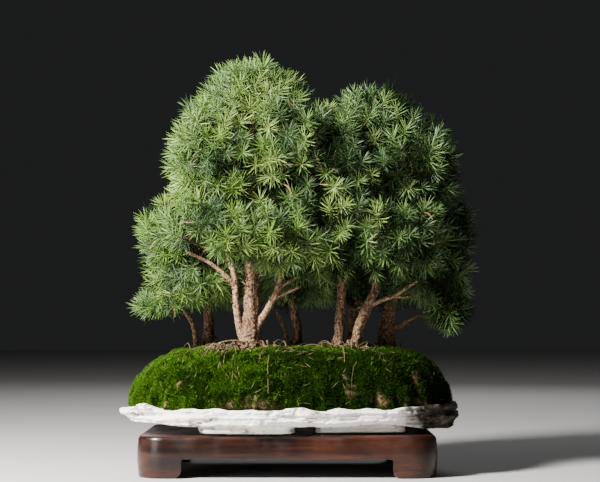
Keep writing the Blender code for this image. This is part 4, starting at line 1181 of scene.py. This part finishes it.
MASSES = crown_masses()
CENTRES = np.array([centre for _, centre, _, _ in MASSES])
EXTENTS = np.array([(radius, radius, half_height) for _, _, radius, half_height in MASSES])


def depths(spots):
    """How far out each spot is in each mass: 1 on its surface."""
    return np.linalg.norm((spots[:, None, :] - CENTRES[None]) / EXTENTS[None], axis=2)


def blended(spots):
    """How far out each spot is in the crown as a whole, with the creases softened."""
    return -np.log(np.exp(-SOFTNESS * depths(spots)).sum(axis=1)) / SOFTNESS


def lumps(spot):
    """Slow unevenness of the crown's skin, so that it breaks into clumps."""
    return 0.145 * noise.noise(spot * 32) + 0.085 * noise.noise(spot * 70 + Vector((5, 2, 8)))


def shell(share, spacing, seed):
    """Places of shoots on one shell of the crown, evenly spaced, with the mass that each is in."""
    dealt = random.Random(seed)
    spots = []
    owners = []
    for i, (_, centre, radius, half_height) in enumerate(MASSES):
        count = int(4 * math.pi * radius * (radius + half_height) / 2 / (0.62 * spacing) ** 2)
        for k in range(count):
            z = 1 - (2 * k + 1) / count
            turn = k * GOLDEN_ANGLE + seed
            flat = math.sqrt(1 - z * z)
            ray = Vector((flat * math.cos(turn), flat * math.sin(turn), z))
            reach = 1 / math.sqrt((ray.x ** 2 + ray.y ** 2) / radius ** 2 + ray.z ** 2 / half_height ** 2)
            spots.append(centre + ray * reach)
            owners.append(i)
    spots = np.array(spots)
    rays = spots - CENTRES[owners]
    wanted = np.array([share + lumps(Vector(spot)) - 0.02 for spot in spots])
    low = np.full(len(spots), 0.3)
    high = np.full(len(spots), 1.25)
    for _ in range(SEARCH_STEPS):
        middle = (low + high) / 2
        inside = blended(CENTRES[owners] + rays * middle[:, None]) < wanted
        low = np.where(inside, middle, low)
        high = np.where(inside, high, middle)
    spots = CENTRES[owners] + rays * low[:, None]
    apart = depths(spots)
    own = apart[np.arange(len(spots)), owners]
    kept = np.flatnonzero(own <= apart.min(axis=1) + 0.06)
    order = list(kept)
    dealt.shuffle(order)
    chosen = []
    grid = {}
    for i in order:
        spot = Vector(spots[i])
        cell = tuple(int(math.floor(value / spacing)) for value in spot)
        near = [
            other for dx in (-1, 0, 1) for dy in (-1, 0, 1) for dz in (-1, 0, 1)
            for other in grid.get((cell[0] + dx, cell[1] + dy, cell[2] + dz), ())]
        if all((spot - other).length > spacing * 0.86 for other in near):
            grid.setdefault(cell, []).append(spot)
            chosen.append((spot, owners[i]))
    return chosen


def outward_way(spot):
    """The direction out of the crown at a spot."""
    step = 0.004
    around = [spot] + [spot + Vector(axis) * step for axis in ((1, 0, 0), (0, 1, 0), (0, 0, 1))]
    values = blended(np.array(around))
    return Vector(values[1:] - values[0]).normalized()


def shoot_mesh(name, seed, needles, full):
    """One shoot along +Z: a short twig tip with needles all round it, closing in at its end."""
    dealt = random.Random(seed)
    parts = []
    for k in range(needles):
        share = (k + 0.5) / needles
        turn = k * GOLDEN_ANGLE + dealt.uniform(-0.3, 0.3)
        lean = math.radians(88 - 62 * share ** 2 + dealt.uniform(-13, 13))
        length = NEEDLE_LENGTH * (0.90 + 0.16 * math.sin(math.pi * share)) * dealt.uniform(0.80, 1.08)
        outward = Vector((math.cos(turn), math.sin(turn), 0))
        ahead = outward * math.sin(lean) + Vector((0, 0, math.cos(lean)))
        start = Vector((0, 0, SHOOT_LENGTH * share)) + outward * 0.0003
        roll = dealt.uniform(0, 6)
        parts.append(needle(start, ahead, Vector((0, 0, 1)), length, NEEDLE_WIDTH, roll, full))
    mesh = bpy.data.meshes.new(name)
    points, faces = joined(parts)
    mesh.from_pydata(points, [], faces)
    return mesh


def shoot_kinds():
    """Different shoots in a collection for the instancing: full ones first, then plain ones."""
    kinds = bpy.data.collections.new("shoot_kinds")
    for kind in range(FULL_KINDS + PLAIN_KINDS):
        full = kind < FULL_KINDS
        needles = (FULL_NEEDLES if full else PLAIN_NEEDLES) + 2 * (kind % 3)
        mesh = shoot_mesh("shoot_" + str(kind), 100 + kind, needles, full)
        kinds.objects.link(bpy.data.objects.new("shoot_" + str(kind), mesh))
    return kinds


def spray_tree():
    """Put one of a collection's shoots on every point, turned and sized by the point's own values."""
    tree, inside, outside = new_geometry_tree("sprays", [
        ("Kinds", "NodeSocketCollection"), ("Material", "NodeSocketMaterial")])

    def named(label, kind):
        return node(tree, "GeometryNodeInputNamedAttribute", {0: label}, data_type=kind).outputs[0]

    kinds = node(tree, "GeometryNodeCollectionInfo", {
        "Collection": inside.outputs["Kinds"], "Separate Children": True, "Reset Children": True})
    turn = node(tree, "FunctionNodeEulerToRotation", {0: named("turn", "FLOAT_VECTOR")})
    sprays = node(tree, "GeometryNodeInstanceOnPoints", {
        "Points": inside.outputs["Geometry"], "Instance": kinds.outputs[0], "Pick Instance": True,
        "Instance Index": named("kind", "INT"), "Rotation": turn.outputs[0],
        "Scale": named("size", "FLOAT")})
    real = node(tree, "GeometryNodeRealizeInstances", {0: sprays.outputs[0]})
    painted = node(tree, "GeometryNodeSetMaterial", {
        "Geometry": real.outputs[0], "Material": inside.outputs["Material"]})
    tree.links.new(painted.outputs[0], outside.inputs[0])
    return tree


def green_for(spot, layer):
    """Which green a shoot gets: by where it is, with some chance."""
    draw = chance.random()
    # The shells under the crown's skin get near-black and deep greens: painted shade inside the crown.
    if layer == 2:
        return "inner"
    if layer == 1:
        return "deep" if draw < 0.85 else "blue"
    # Dark greens in the hollows of the skin: painted shade.
    if lumps(spot) < HOLLOW and draw < 0.7:
        return "deep" if draw < 0.3 else "blue"
    rightward = (spot.x + 0.02) / 0.10 + chance.uniform(-0.6, 0.6)
    low_left = (-0.06 - spot.x) / 0.06 + (0.30 - spot.z) / 0.10 + chance.uniform(-0.8, 0.8)
    if low_left > 1.0:
        return "fresh" if draw < 0.38 else "pale" if draw < 0.46 else "middle" if draw < 0.84 else "blue"
    # Darker greens on the right-hand side and pale ones further left: partly painted light and shade.
    if rightward > 0.5:
        return "blue" if draw < 0.34 else "deep" if draw < 0.80 else "middle"
    return "pale" if draw < 0.30 else "middle" if draw < 0.75 else "fresh" if draw < 0.85 else "blue"


def places_along(stretches):
    """Places along some stretches of the limbs, with how wide a gap each needs."""
    spots = []
    for name, (low, high, width) in stretches.items():
        path = limb_path(name)[0]
        spots += [(along(path, low + (high - low) * step / 14), width) for step in range(15)]
    return spots


def hides_limb(spot, eye, seen):
    """Whether a shoot would stand between a point and a limb that is open to it."""
    for target, width in seen:
        sight = target - eye
        share = (spot - eye).dot(sight) / sight.length_squared
        if share < 0.995 and (eye + sight * share - spot).length < width:
            return True
    return False


def shoot_points():
    """Every shoot: its foot, way, layer, mass and size."""
    shoots = []
    seen = places_along(SHOWN)
    lit = places_along(LIT)
    for layer, (share, spacing, size) in enumerate(LAYERS):
        for spot, owner in shell(share, spacing, layer + 1):
            outward = outward_way(spot)
            wander = Vector([chance.uniform(-WANDER, WANDER) for _ in range(3)])
            way = (outward + Vector((0, 0, UPWARD)) + wander).normalized()
            base = spot - way * (SHOOT_LENGTH + 0.70 * NEEDLE_LENGTH)
            middle = base + way * SHOOT_LENGTH * 0.6
            if hides_limb(middle, EYE, seen) or hides_limb(middle, WINDOW, lit):
                continue
            shoots.append((base, way, layer, owner, size * chance.uniform(0.85, 1.12)))
    return shoots


def spray_mesh(name, shoots, tree, kinds, material):
    """The joined needles of some shoots."""
    source = bpy.data.meshes.new(name)
    source.from_pydata([base for base, _, _, _, _ in shoots], [], [])
    turns = []
    for _, way, _, _, _ in shoots:
        spun = Matrix.Rotation(chance.uniform(0, 2 * math.pi), 3, "Z").to_quaternion()
        turns.append(tuple((way.to_track_quat("Z", "Y") @ spun).to_euler()))
    write_values(source, "turn", "FLOAT_VECTOR", turns)
    write_values(source, "size", "FLOAT", [size for _, _, _, _, size in shoots])
    kinds_of = [
        chance.randrange(FULL_KINDS) if layer == 0 else FULL_KINDS + chance.randrange(PLAIN_KINDS)
        for _, _, layer, _, _ in shoots]
    write_values(source, "kind", "INT", kinds_of)
    return grow(name, source, tree, {"Kinds": kinds, "Material": material})


def limb_points():
    """Points along every limb, as places for the foliage's boughs to start from."""
    spots = []
    for name in LIMBS:
        path = limb_path(name)[0]
        low = 0.55 if name.startswith("trunk") else 0.7
        spots += [along(path, low + (1 - low) * step / 24) for step in range(25)]
    return spots


def twig_shapes(shoots):
    """Boughs from the limbs to the middle of each mass, and twigs from there out to its shoots."""
    starts = limb_points()
    parts = []
    forks = []
    for _, centre, radius, half_height in MASSES:
        start = min(starts, key=lambda spot: (spot - centre).length + 0.4 * max(0, spot.z - centre.z))
        hub = centre.copy()
        middle = start.lerp(hub, 0.5) + Vector((chance.uniform(-1, 1), chance.uniform(-1, 1), -0.5)) * 0.006
        parts.append(tube([start, middle, hub], lambda share, turn: 0.0020 - 0.0007 * share, 6, 12))
        own = [hub]
        for _ in range(FORKS):
            ray = Vector([chance.gauss(0, 1) for _ in range(3)]).normalized()
            out = Vector((ray.x * radius, ray.y * radius, ray.z * half_height)) * 0.48
            own.append(hub + out)
            bend = hub + out * 0.5 + Vector((0, 0, chance.uniform(-0.004, 0.006)))
            parts.append(tube([hub, bend, hub + out], lambda share, turn: 0.0013 - 0.0005 * share, 5, 6))
        forks.append(own)
    for base, way, _, owner, _ in shoots:
        fork = min(forks[owner], key=lambda spot: (spot - base).length)
        bend = fork.lerp(base, 0.6) - way * 0.003
        tip = base + way * SHOOT_LENGTH * 0.75
        parts.append(tube([fork, bend, base, tip], lambda share, turn: 0.00075 - 0.00035 * share, 3, 4))
    return joined(parts)


def bare_twig_shapes(shoots):
    """Old bare twigs with knobbly pale bark that show here and there among the needles."""
    parts = []
    for base, way, layer, _, _ in shoots:
        if layer > 0 or chance.random() > BARE_TWIG_SHARE:
            continue
        loose = Vector([chance.gauss(0, 1) for _ in range(3)])
        across = (loose - way * loose.dot(way)).normalized()
        length = chance.uniform(0.010, 0.022)
        start = base + way * chance.uniform(0.002, 0.010)
        middle = start + across * length / 2 + way * chance.uniform(-0.002, 0.004)
        end = start + across * length + way * chance.uniform(-0.008, 0.006)
        girth = chance.uniform(0.0005, 0.0011)
        parts.append(tube([start, middle, end], lambda share, turn: girth * (1 - 0.4 * share), 6, 14,
                          twig_relief))
    return joined(parts)


shoots = shoot_points()
kinds = shoot_kinds()
sprays = spray_tree()
by_green = {tone: [] for tone in GREENS}
for shoot in shoots:
    by_green[green_for(shoot[0], shoot[2])].append(shoot)
foliage_nodes = [name for name, _, _, _ in MASSES]
for tone, colour in GREENS.items():
    needle_paint = plain_material("needles_" + tone, colour, 0.50, 0.05 if tone in SHADED else 0.3)
    for side in CROWNS:
        own = [shoot for shoot in by_green[tone] if MASSES[shoot[3]][0].startswith("foliage_" + side)]
        name = "needles_" + side + "_" + tone
        mesh = spray_mesh(name, own, sprays, kinds, needle_paint)
        place(name, mesh, needle_paint, foliage_nodes)
twig_paint = plain_material("twig_bark", TWIG_TINT, 0.8, 0.2)
place("twigs", new_mesh("twigs", *twig_shapes(shoots)), twig_paint)
old_paint = plain_material("old_twig_bark", OLD_TWIG_TINT, 0.8, 0.2)
place("bare_twigs", new_mesh("bare_twigs", *bare_twig_shapes(shoots)), old_paint)
for kind in list(kinds.objects):
    bpy.data.objects.remove(kind)
bpy.data.collections.remove(kinds)


# Studio. A plain pale floor and a very dim surround, so that the background stays dark. A small key
# comes from the upper left in front like a window, with a weak fill from the right, a low sheen on
# the stand and a rim from behind.
FLOOR_SIZE = 12.0
LIT_MIDDLE = Vector((0, 0, 0.2))

floor_mesh = bpy.data.meshes.new("floor")
half = FLOOR_SIZE / 2
floor_corners = [(-half, -half, 0), (half, -half, 0), (half, half, 0), (-half, half, 0)]
floor_mesh.from_pydata(floor_corners, [], [(0, 1, 2, 3)])
floor_paint = bpy.data.materials.new("floor_paint")
floor_paint.use_nodes = True
floor_shader = floor_paint.node_tree.nodes["Principled BSDF"]
floor_shader.inputs["Base Color"].default_value = (0.42, 0.415, 0.41, 1.0)
floor_shader.inputs["Roughness"].default_value = 0.9
floor_mesh.materials.append(floor_paint)
floor = bpy.data.objects.new("floor", floor_mesh)
bpy.context.scene.collection.objects.link(floor)


def soft_light(name, spot, size, power, colour=(1.0, 1.0, 1.0), height=None):
    """An area light that faces the middle of the group, square unless it has its own height."""
    lamp = bpy.data.objects.new(name, bpy.data.lights.new(name, "AREA"))
    lamp.data.size = size
    if height:
        lamp.data.shape = "RECTANGLE"
        lamp.data.size_y = height
    lamp.data.energy = power
    lamp.data.color = colour
    lamp.location = spot
    lamp.rotation_euler = (LIT_MIDDLE - lamp.location).to_track_quat("-Z", "Y").to_euler()
    bpy.context.scene.collection.objects.link(lamp)


soft_light("key", WINDOW, 0.22, 78.0, (1.0, 0.985, 0.95))
soft_light("fill", (1.3, -1.3, 0.6), 1.2, 0.9, (0.93, 0.96, 1.0))
soft_light("sheen", (-0.66, -0.66, 0.22), 0.34, 1.9, (1.0, 1.0, 1.0), 0.40)
soft_light("rim", (0.3, 1.5, 1.1), 0.9, 7.0)
world = bpy.data.worlds.new("surround")
world.use_nodes = True
world.node_tree.nodes["Background"].inputs["Color"].default_value = (0.80, 0.82, 0.85, 1.0)
world.node_tree.nodes["Background"].inputs["Strength"].default_value = 0.02
bpy.context.scene.world = world
